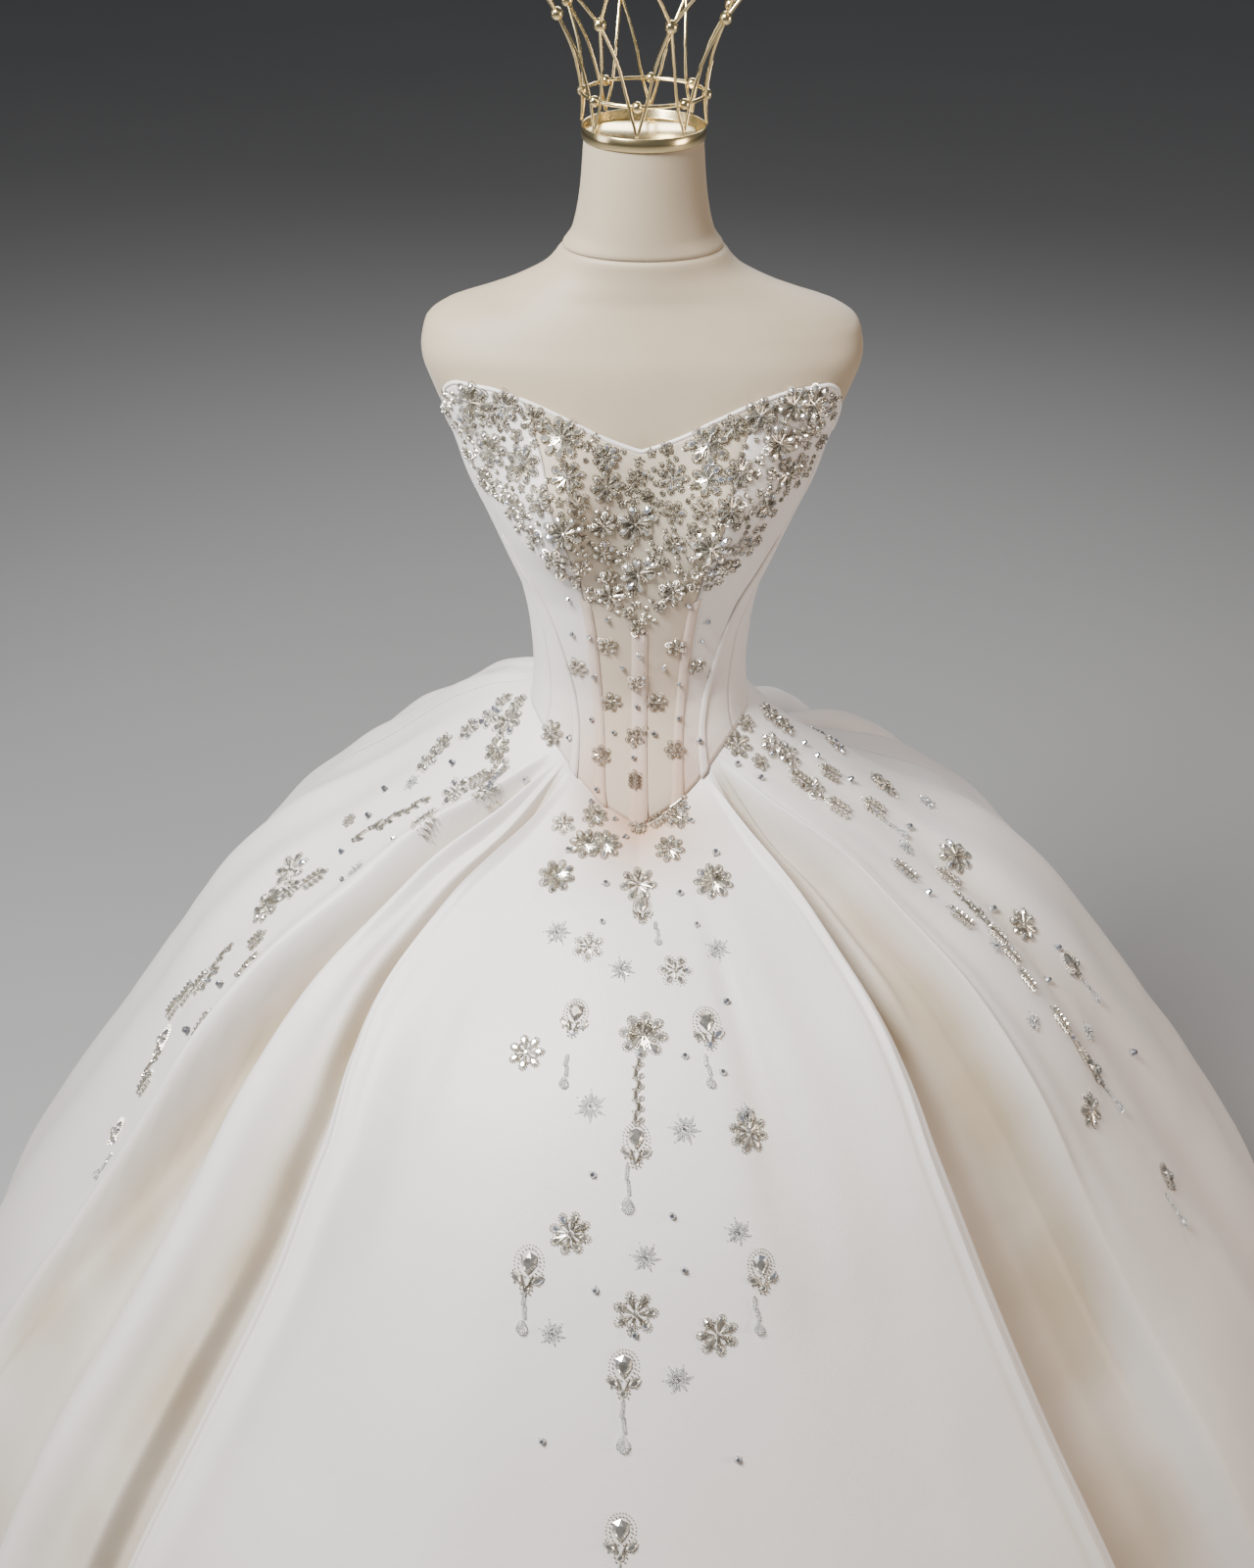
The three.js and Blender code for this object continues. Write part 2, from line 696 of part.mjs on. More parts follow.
// Where the bodice covers it the form is a little smaller than the figure.
const FORM_TUCK = 5;
const TUCK_FROM_Z = 1335;
const TUCK_FULL_Z = 1285;
const FORM_SEGMENTS = 32;
function formRing(z) {
  const tuck = FORM_TUCK * (1 - smooth(TUCK_FULL_Z, TUCK_FROM_Z, z));
  return steps(FORM_SEGMENTS - 1, 0, 360 - 360 / FORM_SEGMENTS).map((turn) => {
    const p = sectionOffset(turn > 180 ? turn - 360 : turn, z, -tuck);
    return new THREE.Vector3(p.x, p.y, z);
  });
}

// The heights of the form's rings: under the bodice, on the chest, on the shoulders and on the neck.
const HIDDEN_HEIGHTS = [FORM_BOTTOM_Z, 900, 950, 1000, WAIST_Z, 1100, 1141, 1183, 1224];
const CHEST_HEIGHTS = steps(7, 1250, 1388);
const SHOULDER_HEIGHTS = [1400, 1411, 1421, 1431, 1442, 1453, NECK_SEAM_Z];
const NECK_HEIGHTS = [NECK_SEAM_Z + SEAM_GAP, 1481, 1515, NECK_TOP_Z];
function formGeometry(heights) {
  const ends = [heights[0], heights[heights.length - 1]];
  return loftGeometry(heights.map(formRing), ends.map((z) => new THREE.Vector3(0, 0, z)));
}

function latheGeometry(outline, segments) {
  const points = outline.map(([r, z]) => new THREE.Vector2(r, z));
  return new THREE.LatheGeometry(points, segments).rotateX(Math.PI / 2);
}

const bandLow = NECK_TOP_Z + SEAM_GAP;
const bandTop = bandLow + BAND_HEIGHT;
const BAND_WALL = 1.6;
const PLATE = 3;
const bandOutline = [
  [0, bandLow],
  [BAND_RADIUS, bandLow],
  [BAND_RADIUS, bandTop],
  [BAND_RADIUS - BAND_WALL, bandTop],
  [BAND_RADIUS - BAND_WALL, bandLow + PLATE],
  [0, bandLow + PLATE],
];
const baseOutline = [
  [0, 0],
  [BASE_RADIUS - 2, 0],
  [BASE_RADIUS, 2],
  [BASE_RADIUS, BASE_HEIGHT - 3],
  [BASE_RADIUS - 4, BASE_HEIGHT],
  [0, BASE_HEIGHT],
];
const poleOutline = [
  [0, BASE_HEIGHT + SEAM_GAP],
  [POLE_RADIUS, BASE_HEIGHT + SEAM_GAP],
  [POLE_RADIUS, FORM_BOTTOM_Z - SEAM_GAP],
  [0, FORM_BOTTOM_Z - SEAM_GAP],
];

// Crown: a ring of wire with beads, a V of wire from each foot on the band, and points with beads above.
// lean is the share of half a step round that a wire has moved sideways when it gets there.
const CROWN = table(
  ["name", "z", "r", "bead", "lean"],
  ["foot", bandTop + 1.4, 52.5, 0, 0],
  ["ring", 1591, 51, 4.4, 0],
  ["passing", 1591, 51.6, 0, 0.34],
  ["swelling", 1624, 58.5, 0, 0.68],
  ["waist", 1655, 73, 5.2, 1],
  ["arching", 1682, 91, 0, 0.5],
  ["point", 1712, 116, 5.2, 0],
);
const [foot, ring, passing, swelling, crownWaist, arching, crownPoint] = CROWN;
const CROWN_TURN = -6; // degrees from centre front to the first foot
const at = ({ r, z }, turn, out = 0) =>
  new THREE.Vector3((r + out) * Math.sin(radians(turn)), -(r + out) * Math.cos(radians(turn)), z);

function wireGeometry(points, segments, closed = false) {
  const section = new THREE.Shape(
    steps(4, 0, 2 * Math.PI)
      .slice(0, -1)
      .map((a) => new THREE.Vector2(Math.cos(a), Math.sin(a)).multiplyScalar(WIRE / 2)),
  );
  const path = new THREE.CatmullRomCurve3(points, closed);
  return new THREE.ExtrudeGeometry(section, { steps: segments, extrudePath: path, bevelEnabled: false });
}

function beadGeometry(centre, radius) {
  return new THREE.SphereGeometry(radius, 5, 3).translate(centre.x, centre.y, centre.z);
}

function ringGeometry({ r, z }) {
  const circle = steps(5, 0, 2 * Math.PI)
    .slice(0, -1)
    .map((a) => [r + (WIRE / 2) * Math.cos(a), z + (WIRE / 2) * Math.sin(a)]);
  return latheGeometry([...circle, circle[0]], 20);
}

function crownSolid() {
  const spacing = 360 / CROWN_POINTS;
  const parts = [ringGeometry(ring)];
  for (let i = 0; i < CROWN_POINTS; i += 1) {
    const turn = CROWN_TURN + i * spacing;
    parts.push(beadGeometry(at(ring, turn, 1), ring.bead));
    parts.push(beadGeometry(at(crownWaist, turn + spacing / 2), crownWaist.bead));
    parts.push(beadGeometry(at(crownPoint, turn), crownPoint.bead));
    for (const hand of [-1, 1]) {
      const place = (row) => at(row, turn + (hand * row.lean * spacing) / 2);
      parts.push(wireGeometry([foot, passing, swelling, crownWaist].map(place), 3));
      parts.push(wireGeometry([crownWaist, arching, crownPoint].map(place), 2));
    }
  }
  return joined(parts);
}

// Materials

const satin = { color: "#efe9df", roughness: 0.45 };
const tulle = { color: "#d9d1c3", roughness: 0.6 };
const linen = { color: "#e6dccb", roughness: 0.85 };
const gold = { color: "#d9b25a", roughness: 0.18, metalness: 1 };
const steel = { color: "#b9babb", roughness: 0.3, metalness: 1 };

const group = new THREE.Group();
function add(name, geometry, finish) {
  const mesh = new THREE.Mesh(geometry, new THREE.MeshStandardMaterial(finish));
  mesh.name = name;
  group.add(mesh);
}

const sides = [
  ["left", 1],
  ["right", -1],
];
const front = (z) => seam.princess(z);
add("bodice_front_centre", beadedBodiceWall(1, (z) => -front(z), front, 8), tulle);
for (const [name, side] of sides) {
  add(`bodice_front_${name}`, beadedBodiceWall(side, seam.princess, seam.side, 8), satin);
  add(`bodice_side_${name}`, bodiceWall(side, seam.side, seam.back, 6), satin);
  add(`bodice_back_${name}`, bodiceWall(side, seam.back, seam.closing, 5), satin);
  add(`channel_princess_${name}`, channelWall(side, seam.princess, CHANNEL_FROM.princess), satin);
  add(`channel_side_${name}`, channelWall(side, seam.side, CHANNEL_FROM.side), satin);
  const sidePlaces = orient(side, knots(name, FOLD_JOIN, SIDE_JOIN, 1.4));
  add(`skirt_side_${name}`, beadedSkirtWall(sidePlaces, SKIRT_FLOWERS[name]), satin);
  add(`skirt_back_${name}`, skirtWall(orient(side, knots(name, SIDE_JOIN, CENTRE_BACK, 1.75))), satin);
}
add("channel_centre", channelWall(1, seam.centre, CHANNEL_FROM.centre), satin);
add("skirt_front", beadedSkirtWall(frontPanel, SKIRT_FLOWERS.front), satin);
add("form_body", formGeometry([...HIDDEN_HEIGHTS, ...CHEST_HEIGHTS, ...SHOULDER_HEIGHTS]), linen);
add("form_neck", formGeometry(NECK_HEIGHTS), linen);
add("neck_band", latheGeometry(bandOutline, 28), gold);
add("crown", geometryOf(crownSolid()), gold);
add("stand_pole", latheGeometry(poleOutline, 16), steel);
add("stand_base", latheGeometry(baseOutline, 32), steel);

// Columns run to the wearer's left, so the right half's are listed from the back to the front.
function orient(side, places) {
  return side > 0 ? places : places.reverse();
}

export default group;
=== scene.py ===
"""The looks of a beaded satin ball gown on a limbless dress form.

Shapes are worked out in millimetres on grids of two parameters and go into the meshes in metres.
The gown faces -Y, and left and right are the wearer's: left is +X.
"""

import bpy  # noqa: E402
import numpy as np  # noqa: E402
from mathutils import Matrix  # noqa: E402


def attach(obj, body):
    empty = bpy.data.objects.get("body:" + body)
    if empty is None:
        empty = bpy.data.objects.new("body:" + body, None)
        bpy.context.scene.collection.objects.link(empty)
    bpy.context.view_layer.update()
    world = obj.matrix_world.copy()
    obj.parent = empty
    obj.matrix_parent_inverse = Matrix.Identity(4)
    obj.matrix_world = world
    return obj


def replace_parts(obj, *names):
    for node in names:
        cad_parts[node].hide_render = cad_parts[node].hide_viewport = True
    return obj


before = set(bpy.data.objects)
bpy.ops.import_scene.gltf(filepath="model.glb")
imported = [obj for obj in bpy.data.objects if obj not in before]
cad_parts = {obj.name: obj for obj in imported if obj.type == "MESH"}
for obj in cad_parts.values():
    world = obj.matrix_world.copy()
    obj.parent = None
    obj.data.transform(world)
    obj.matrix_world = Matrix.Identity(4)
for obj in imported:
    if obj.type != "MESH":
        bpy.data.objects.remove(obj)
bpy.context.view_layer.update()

MM = 0.001
BODY = "root"

# Driving sizes, the same as the part's source.
CLOTH = 2.2
FORM_GAP = 2
SEAM_GAP = 0.3
SIDE_SEAM_Z = 1017
BASQUE_Z = 943
CORNER_TURN = 27
CHANNEL_WIDTH = 9
CHANNEL_RISE = 1.6
CHANNEL_GAP = 0.9
CHANNEL_FROM = {"centre": 0.5, "princess": 0.5, "side": 0.4}
NECK_SEAM_Z = 1466
NECK_TOP_Z = 1555
FORM_BOTTOM_Z = 850
BAND_RADIUS = 52.5
BAND_HEIGHT = 10.5
BAND_WALL = 1.6
PLATE = 3
WIRE = 3
CROWN_POINTS = 8
BASE_RADIUS = 200
BASE_HEIGHT = 12
POLE_RADIUS = 16
SIDES = (("left", 1), ("right", -1))


def smooth(low, high, x):
    """0 below low, 1 above high, and a smooth step between them."""
    t = np.clip((np.asarray(x, float) - low) / (high - low), 0, 1)
    return t * t * (3 - 2 * t)


def mix(a, b, t):
    return a + (b - a) * t


def hump(x, middle, spread):
    """A bell of height 1 at middle."""
    return np.exp(-(((x - middle) / spread) ** 2))


def curve(rows, column):
    """Reads a column of a table as a monotone cubic. A row's slope is the harmonic mean of the steps beside it,
    or 0 where the column turns."""
    x = np.array([row[0] for row in rows], float)
    y = np.array([row[column] for row in rows], float)
    step = np.diff(y) / np.diff(x)
    before, after = step[:-1], step[1:]
    same_way = before * after > 0
    total = np.where(same_way, before + after, 1)
    inner = np.where(same_way, 2 * before * after / total, 0)
    slope = np.concatenate([step[:1], inner, step[-1:]])

    def read(at):
        at = np.clip(np.asarray(at, float), x[0], x[-1])
        i = np.clip(np.searchsorted(x, at) - 1, 0, len(x) - 2)
        h = x[i + 1] - x[i]
        t = (at - x[i]) / h
        near = y[i] * (1 + 2 * t) * (1 - t) ** 2 + y[i + 1] * t * t * (3 - 2 * t)
        return near + h * (slope[i] * t * (1 - t) ** 2 - slope[i + 1] * t * t * (1 - t))

    return read


# The figure by height: half width, depth to the front and to the back, squareness, and how far the bust
# stands out.
FIGURE = (
    (850, 150, 96, 116, 2.2, 0),
    (900, 152, 102, 119, 2.2, 0),
    (950, 139, 98, 108, 2.2, 0),
    (1000, 113, 88, 90, 2.2, 0),
    (1030, 103, 82, 80, 2.2, 0),
    (1060, 101.5, 79, 76, 2.2, 0),
    (1098, 103.5, 82, 80, 2.2, 0),
    (1141, 110, 88, 88, 2.2, 0),
    (1183, 125.5, 94, 96, 2.2, 7),
    (1224, 141.5, 99, 102, 2.25, 24),
    (1264, 158.5, 101, 104, 2.3, 28),
    (1302, 170, 98, 104, 2.3, 14),
    (1340, 187, 89, 102, 2.4, 2),
    (1377, 197, 78, 96, 2.6, 0),
    (1398, 193, 68, 86, 2.4, 0),
    (1411, 178, 62, 75, 2.15, 0),
    (1421, 150, 58, 67, 2, 0),
    (1430, 124, 55, 62, 1.95, 0),
    (1439, 103, 54, 59, 1.95, 0),
    (1447, 88, 53, 57, 1.95, 0),
    (1456, 78, 52.5, 56, 2, 0),
    (1466, 71, 52.5, 55, 2.05, 0),
    (1481, 61, 52, 53, 2, 0),
    (1515, 54, 51.5, 52, 2, 0),
    (1555, 50.5, 50.5, 50.5, 2, 0),
)
half_at, front_at, back_at, square_at, bust_at = (curve(FIGURE, i) for i in range(1, 6))
BUST_APART = 78
BUST_SPREAD = 38
SLOPE_TURN = 1.5


def section_point(turn, z):
    """The figure's section at height z: a superellipse, with two bell-shaped cups at the front."""
    s, c = np.sin(np.radians(turn)), np.cos(np.radians(turn))
    power = 2 / square_at(z)
    x = half_at(z) * np.sign(s) * np.abs(s) ** power
    depth = np.where(c > 0, front_at(z), back_at(z))
    cup = bust_at(z) * hump(np.abs(x), BUST_APART, BUST_SPREAD) * np.sqrt(np.maximum(c, 0))
    return x, -depth * np.sign(c) * np.abs(c) ** power - cup


def section_offset(turn, z, out):
    """The section moved outwards by out at right angles to itself."""
    ax, ay = section_point(turn - SLOPE_TURN, z)
    bx, by = section_point(turn + SLOPE_TURN, z)
    x, y = section_point(turn, z)
    length = np.hypot(bx - ax, by - ay)
    return x + (by - ay) / length * out, y - (bx - ax) / length * out


# The bodice's edges by turn: the neckline and the waist seam.
EDGES = (
    (0, 1315, BASQUE_Z),
    (9, 1328, 956),
    (16, 1340, 967),
    (CORNER_TURN, 1354, 984),
    (38, 1361, 998),
    (50, 1362, 1008),
    (58, 1356, 1012),
    (66, 1338, 1015),
    (76, 1312, 1016),
    (90, 1298, SIDE_SEAM_Z),
    (120, 1287, 1015),
    (180, 1280, 1010),
)
neckline, waist_seam = curve(EDGES, 1), curve(EDGES, 2)
BASQUE_FLARE = 31
FLARE_FROM_Z = 1052

# Seam lines of the bodice by height, in degrees from centre front: princess, side and back seam, and the
# stitched line of the bone beside the side seam.
SEAMS = (
    (940, 10.5, 22, 118, 44),
    (1000, 16, 28, 119, 50),
    (1060, 20.8, 37, 120, 54),
    (1110, 22, 45, 120, 57),
    (1160, 23, 54, 120, 71),
    (1200, 24, 62, 120, 82),
    (1240, 25, 68, 120, 88),
    (1365, 27, 71, 120, 92),
)
princess_line, side_line, back_line, bone_line = (curve(SEAMS, i) for i in range(1, 5))


def centre_line(z):
    return 0 * z


def closing_line(z):
    return 0 * z + 180


def flare(turn, z):
    """How far the stiff basque stands away from the figure."""
    drop = np.clip((FLARE_FROM_Z - z) / (FLARE_FROM_Z - BASQUE_Z), 0, 1)
    return BASQUE_FLARE * drop**1.3 * np.maximum(0, np.cos(np.radians(turn)))


def bodice_point(turn, z, out):
    x, y = section_offset(turn, z, FORM_GAP + flare(turn, z) + out)
    return np.stack(np.broadcast_arrays(x, y, z), -1)


def row_height(turn, down):
    """The height of the bodice's row at share down from neckline to waist seam."""
    turn = np.abs(turn)
    return mix(neckline(turn), waist_seam(turn), down)


def seam_turn(start, end, across, down):
    """The turn at share across between two seams on the row at share down, found by repeated reading."""
    turn = 0 * (across + down)
    for _ in range(6):
        z = row_height(turn, down)
        turn = mix(start(z), end(z), across)
    return turn


# The skirt's profile from waist seam to hem, without its pleats.
PROFILE = (
    (0, 115, 1017),
    (0.03, 140, 995),
    (0.07, 184, 957),
    (0.12, 240, 916),
    (0.18, 306, 870),
    (0.25, 388, 817),
    (0.34, 467, 738),
    (0.45, 537, 640),
    (0.58, 625, 516),
    (0.72, 740, 367),
    (0.86, 836, 190),
    (1, 898, 0),
)
profile_r, profile_z = curve(PROFILE, 1), curve(PROFILE, 2)

# The pleats round one half, from centre front to centre back: place round it, turn at the waist and at the hem,
# sideways shift and height off the profile.
FRONT_HALF = (
    (0, 0, 0, 0, 3),
    (1, 6, 10, 0, 3),
    (2, 12, 20, 0, 1),
    (3, 18, 29, 0, 2),
    (4, 23, 35.5, 0, 8),
    (5, 25.4, 39, -4, 10),
    (6, 26, 39, 5, 6),
    (7, 26.6, 39, 6, -3),
    (8, 27.2, 39, 0, -12),
    (9, 27.8, 39, -14, -17),
    (10, 28.4, 39, -28, -20),
    (11, 29, 39, -26, -31),
    (12, 29.6, 40, -6, -37),
)
BACK_HALF = (
    (25, 106, 116, 0, 2),
    (26, 112, 124, 0, 12),
    (27, 119, 131, 0, -14),
    (28, 126, 138, 0, 13),
    (29, 134, 146, 0, -17),
    (30, 143, 154, 0, 14),
    (31, 152, 162, 0, -16),
    (32, 163, 171, 0, 12),
    (33, 180, 180, 0, -4),
)
FOLD_JOIN = 10
SIDE_JOIN = 25
CENTRE_BACK = 33
PLEATS = {
    "left": (
        *FRONT_HALF,
        (13, 30.4, 42.5, 0, -38),
        (14, 31.4, 46, 0, -36),
        (15, 32.6, 49.5, 0, -18),
        (16, 34.2, 52.3, 0, 11),
        (17, 37, 56, 0, 10),
        (18, 42, 62, 0, 4),
        (19, 50, 68.5, 0, -4),
        (20, 58, 74.5, 0, -14),
        (21, 68, 83, 0, 7),
        (22, 79, 92, 0, -7),
        (23, 90, 101, 0, 8),
        (24, 99, 109, 0, -8),
        *BACK_HALF,
    ),
    "right": (
        *FRONT_HALF,
        (13, 30.4, 43, 0, -36),
        (14, 31.2, 44.4, 0, -12),
        (15, 32.4, 48.5, 0, -15),
        (16, 34.2, 52.6, 0, 3),
        (17, 36.4, 58.5, 0, -26),
        (18, 39, 63.5, 0, 12),
        (19, 44, 68, 0, 7),
        (20, 54, 76, 0, -3),
        (21, 66, 85, 0, 4),
        (22, 78, 93, 0, -8),
        (23, 89, 101, 0, 7),
        (24, 99, 109, 0, -7),
        *BACK_HALF,
    ),
}
pleat = {name: [curve(rows, i) for i in range(1, 5)] for name, rows in PLEATS.items()}

# How far the edge of the front panel leans round the skirt, in degrees, by share of the way down, for the left
# and the right.
SWAY = (
    (0, 0, 0),
    (0.1, -1.4, 2.4),
    (0.19, -1.2, 3.4),
    (0.27, -2.4, 0.5),
    (0.34, -3.4, -1.8),
    (0.42, -3, -1.8),
    (0.6, -1.6, 0),
    (1, 1.5, 2.5),
)
sway = {"left": curve(SWAY, 1), "right": curve(SWAY, 2)}

# Broad swells and hollows of the sides and the back: turn and its spread in degrees, share of the way down and
# its spread, and height in millimetres.
SWELLS = {
    "left": (
        (132, 38, 0.12, 0.09, -28),
        (150, 30, 0.08, 0.07, -22),
        (106, 20, 0.09, 0.06, 11),
        (124, 16, 0.28, 0.08, -16),
        (156, 16, 0.25, 0.1, -18),
        (138, 12, 0.25, 0.05, -5),
    ),
    "right": (
        (132, 38, 0.07, 0.06, 20),
        (90, 32, 0.48, 0.08, -8),
        (127, 18, 0.14, 0.06, 10),
        (124, 16, 0.28, 0.06, -9),
    ),
}
SWELL_FADE = (158, 178)

# How far the sides stand off the profile, by share of the way down, for the left and the right.
OUTLINE = (
    (0, 0, 0),
    (0.3, 1, -1),
    (0.39, 2.5, 1.5),
    (0.44, 4, 5.5),
    (0.49, 5, 6.5),
    (0.54, 5.5, 2.5),
    (0.59, 3.5, -3),
    (0.64, 1, -8.5),
    (0.71, -6, -13),
    (0.76, -5, -12),
    (0.82, -2, -7),
    (0.9, 0, -2),
    (1, 0, 0),
)
outline_lift = {"left": curve(OUTLINE, 1), "right": curve(OUTLINE, 2)}
OUTLINE_TURN = 101
OUTLINE_ROUND = 28

# The layers of the folded edge: from which place round the skirt, how many, how far apart and where they end.
# Then the shares of the way down over which the fan spreads, the folds open and lean over and the waist's shape
# settles into the profile, and how the folds deepen.
EDGE_KNOT = 5
LAYERS = 7
LAYER_STEP = 1.5
LAYERS_FADE = (13, 19)
FAN = (-0.03, 0.14)
FOLD = (0, 0.28)
FOLD_FRONT = 0.1
LEAN = (0.06, 0.36)
SETTLED = 0.22
DEEPEN = 0.35
WAIST_DROP = 1
# Where the swaying edge reaches the hem, in degrees, and how far round the sway is felt.
EDGE_HEM = 39
SWAY_ROUND = 11
SLOPE_STEP = 0.01
# The cloth ends on the floor: it stays above a line that falls from this height.
HEM_RISE = 60

# Creases laid over the pleats of each half: place round it, how far the crease drifts on its way to the
# hem, where it starts and ends on the way down, its width in places, and its height in millimetres.
CREASES = {
    "left": (
        (0.9, 0.2, 0.3, 1.0, 0.5, -4),
        (1.55, 0.1, 0.08, 0.4, 0.14, -4),
        (2.2, 0.4, 0.05, 0.5, 0.35, 3),
        (3.2, -0.4, 0.35, 1.0, 0.45, 5),
        (4.4, 0, 0.02, 0.8, 0.12, -2),
        (4.7, 0, 0.0, 1.0, 0.14, 2.5),
        (13.9, 0.0, 0.0, 0.3, 0.45, 14),
        (15.3, 0.2, 0.03, 0.9, 0.35, -12),
        (16.15, 0.0, 0.0, 0.5, 0.25, 8),
        (17.3, 0.5, 0.04, 0.6, 0.35, -4),
        (18.2, 0.9, 0.1, 0.7, 0.4, 3),
        (21.2, -7.0, 0.08, 0.5, 0.35, -4),
        (20.0, -1.5, 0.2, 0.9, 0.45, 3),
        (22.9, -1.4, 0.04, 0.6, 0.4, -2),
        (26.5, 0.3, 0, 0.4, 0.3, 4),
        (28.6, -0.2, 0, 0.7, 0.3, -5),
        (30.5, 0.4, 0.03, 0.5, 0.3, 5),
        (32.1, 0.2, 0, 0.8, 0.4, -4),
    ),
    "right": (
        (1.5, 0.2, 0.25, 1.0, 0.5, 4),
        (2.3, 0.5, 0.03, 0.2, 0.3, -3.2),
        (3.0, 0, 0.1, 0.5, 0.4, -4.5),
        (3.8, 0.8, 0.12, 1.0, 0.35, 7),
        (4.5, 0, 0.02, 0.9, 0.14, 2),
        (12.2, 0.5, 0.02, 0.3, 0.4, 4),
        (14.9, 0.8, 0.0, 0.8, 0.5, 14),
        (13.6, 0.6, 0.05, 0.6, 0.4, -9),
        (16.45, 2.4, 0.0, 0.9, 0.26, -16),
        (17.15, 2.3, 0.0, 0.9, 0.26, 11),
        (18.8, 0.5, 0.1, 0.6, 0.4, -3),
        (20.9, -2.5, 0.06, 0.5, 0.4, -2.5),
        (23.2, -0.4, 0.04, 0.5, 0.3, 2),
        (26.4, -0.4, 0.02, 0.6, 0.3, -4),
        (28.5, 0.3, 0, 0.5, 0.35, 5),
        (30.6, -0.3, 0, 0.8, 0.3, -5),
        (31.8, 0.5, 0.04, 0.6, 0.3, 5),
    ),
}
# Where shade is painted into the cloth's tone in the folds, in the creases' terms. The last value is a share of
# 1.
SHADES = {
    "left": (
        (1.6, 0.1, 0.1, 0.5, 0.3, 0.25),
        (4.4, 0, 0.02, 0.9, 0.1, 0.3),
        (9, 0, 0, 1.0, 2, 0.15),
        (12.8, 0.8, 0, 0.9, 1.2, 0.35),
        (15.1, 0.2, 0.02, 0.7, 0.75, 1.0),
        (17.4, 0.5, 0.05, 0.5, 0.5, 0.2),
        (21.2, -7.0, 0.08, 0.5, 0.4, 0.3),
        (22.5, 0, 0.1, 1.0, 3, 0.16),
    ),
    "right": (
        (3.0, 0, 0.1, 0.6, 0.5, 0.25),
        (8, 0, 0, 1.0, 2, 0.2),
        (13.4, 1.2, 0, 0.9, 0.7, 0.7),
        (16.3, 2.5, 0, 0.9, 0.45, 1.0),
        (18.9, 0.5, 0.1, 0.7, 0.5, 0.12),
    ),
}
# Painted shadow lines under folded edges, in the same terms.
SHADOW_LINES = {
    "left": (
        (5.3, 0, 0, 0.9, 0.16, 0.7),
        (15.95, 0, 0.02, 0.3, 0.09, 0.5),
    ),
    "right": (
        (5.3, 0, 0, 0.9, 0.16, 0.7),
        (16.85, 2.35, 0.0, 0.8, 0.1, 0.5),
    ),
}
# The places round the skirt where the folds open early and where the sides lie calmer, and by how much.
EARLY_FROM = (4, 5)
EARLY_TO = (18, 20)
CALM = 0.5
CALM_FROM = (18, 19.5)
CALM_TO = (25, 26.5)
CREASE_REACH = 0.35
SWELL_START = (0, 0.05)


def fold_height(name, knot, down):
    """The pleats' height. The folds that start at the bodice's corners open early, and the sides lie calmer."""
    early = smooth(*EARLY_FROM, knot) * (1 - smooth(*EARLY_TO, knot))
    depth = mix(smooth(*FOLD, down), smooth(0, FOLD_FRONT, down), early) * (1 + DEEPEN * down)
    calm = 1 - CALM * smooth(*CALM_FROM, knot) * (1 - smooth(*CALM_TO, knot))
    return pleat[name][3](knot) * depth * calm


def creased(name, knot, down, rows=CREASES):
    """The hand-laid creases' height: a bell across each, and a smooth rise and fall along it."""
    total = 0 * (knot + down)
    for at, drift, start, end, width, height in rows[name]:
        middle = at + drift * (down - start)
        reach = (end - start) * CREASE_REACH
        fade = 1 if end >= 1 else 1 - smooth(end - reach, end, down)
        total = total + height * hump(knot, middle, width) * smooth(start, start + reach, down) * fade
    return total


def swollen(name, turn, down):
    """Broad swells and hollows: bells in the turn and on the way down, which fade towards the centre back."""
    total = 0 * (turn + down)
    for at, spread, low, along, lift in SWELLS[name]:
        total = total + lift * hump(turn, at, spread) * hump(down, low, along) * smooth(*SWELL_START, down)
    total = total * (1 - smooth(*SWELL_FADE, turn))
    return total + outline_lift[name](down) * hump(turn, OUTLINE_TURN, OUTLINE_ROUND)


def skirt_point(name, knot, down):
    """A point of the skirt: the profile turned round the pole, lifted at right angles to itself by the pleats,
    the swells and the creases, with the waist's places fanned out to the hem's."""
    knot, down = np.broadcast_arrays(np.asarray(knot, float), np.asarray(down, float))
    side = 1 if name == "left" else -1
    waist, hem, along, _ = pleat[name]
    seam_z = waist_seam(waist(knot))
    sx, sy = section_offset(waist(knot), seam_z, FORM_GAP + flare(waist(knot), seam_z))
    hem_turn = hem(knot) + sway[name](down) * hump(hem(knot), EDGE_HEM, SWAY_ROUND)
    settle = (1 - np.clip(down / SETTLED, 0, 1)) ** 2
    base_r = profile_r(down) + (np.hypot(sx, sy) - profile_r(0)) * settle
    base_z = profile_z(down) + (seam_z - WAIST_DROP - profile_z(0)) * settle
    above, below = down - SLOPE_STEP, down + SLOPE_STEP
    slope = np.arctan2(profile_z(above) - profile_z(below), profile_r(below) - profile_r(above))
    lift = fold_height(name, knot, down) + swollen(name, hem_turn, down) + creased(name, knot, down)
    r = base_r + lift * np.sin(slope)
    z = np.where(down >= 1, 0, base_z + lift * np.cos(slope))
    layers = LAYER_STEP * np.clip(knot - EDGE_KNOT, 0, LAYERS) * (1 - smooth(*LAYERS_FADE, knot))
    across = along(knot) * smooth(*LEAN, down) ** 2 + layers * smooth(0, FAN[1], down)
    fan = 1 - smooth(*FAN, down)
    turn = np.radians(mix(hem_turn, np.degrees(np.arctan2(sx, -sy)), fan)) + across / base_r
    return np.stack([side * r * np.sin(turn), -r * np.cos(turn), np.maximum(z, HEM_RISE * (1 - down))], -1)


# Meshes


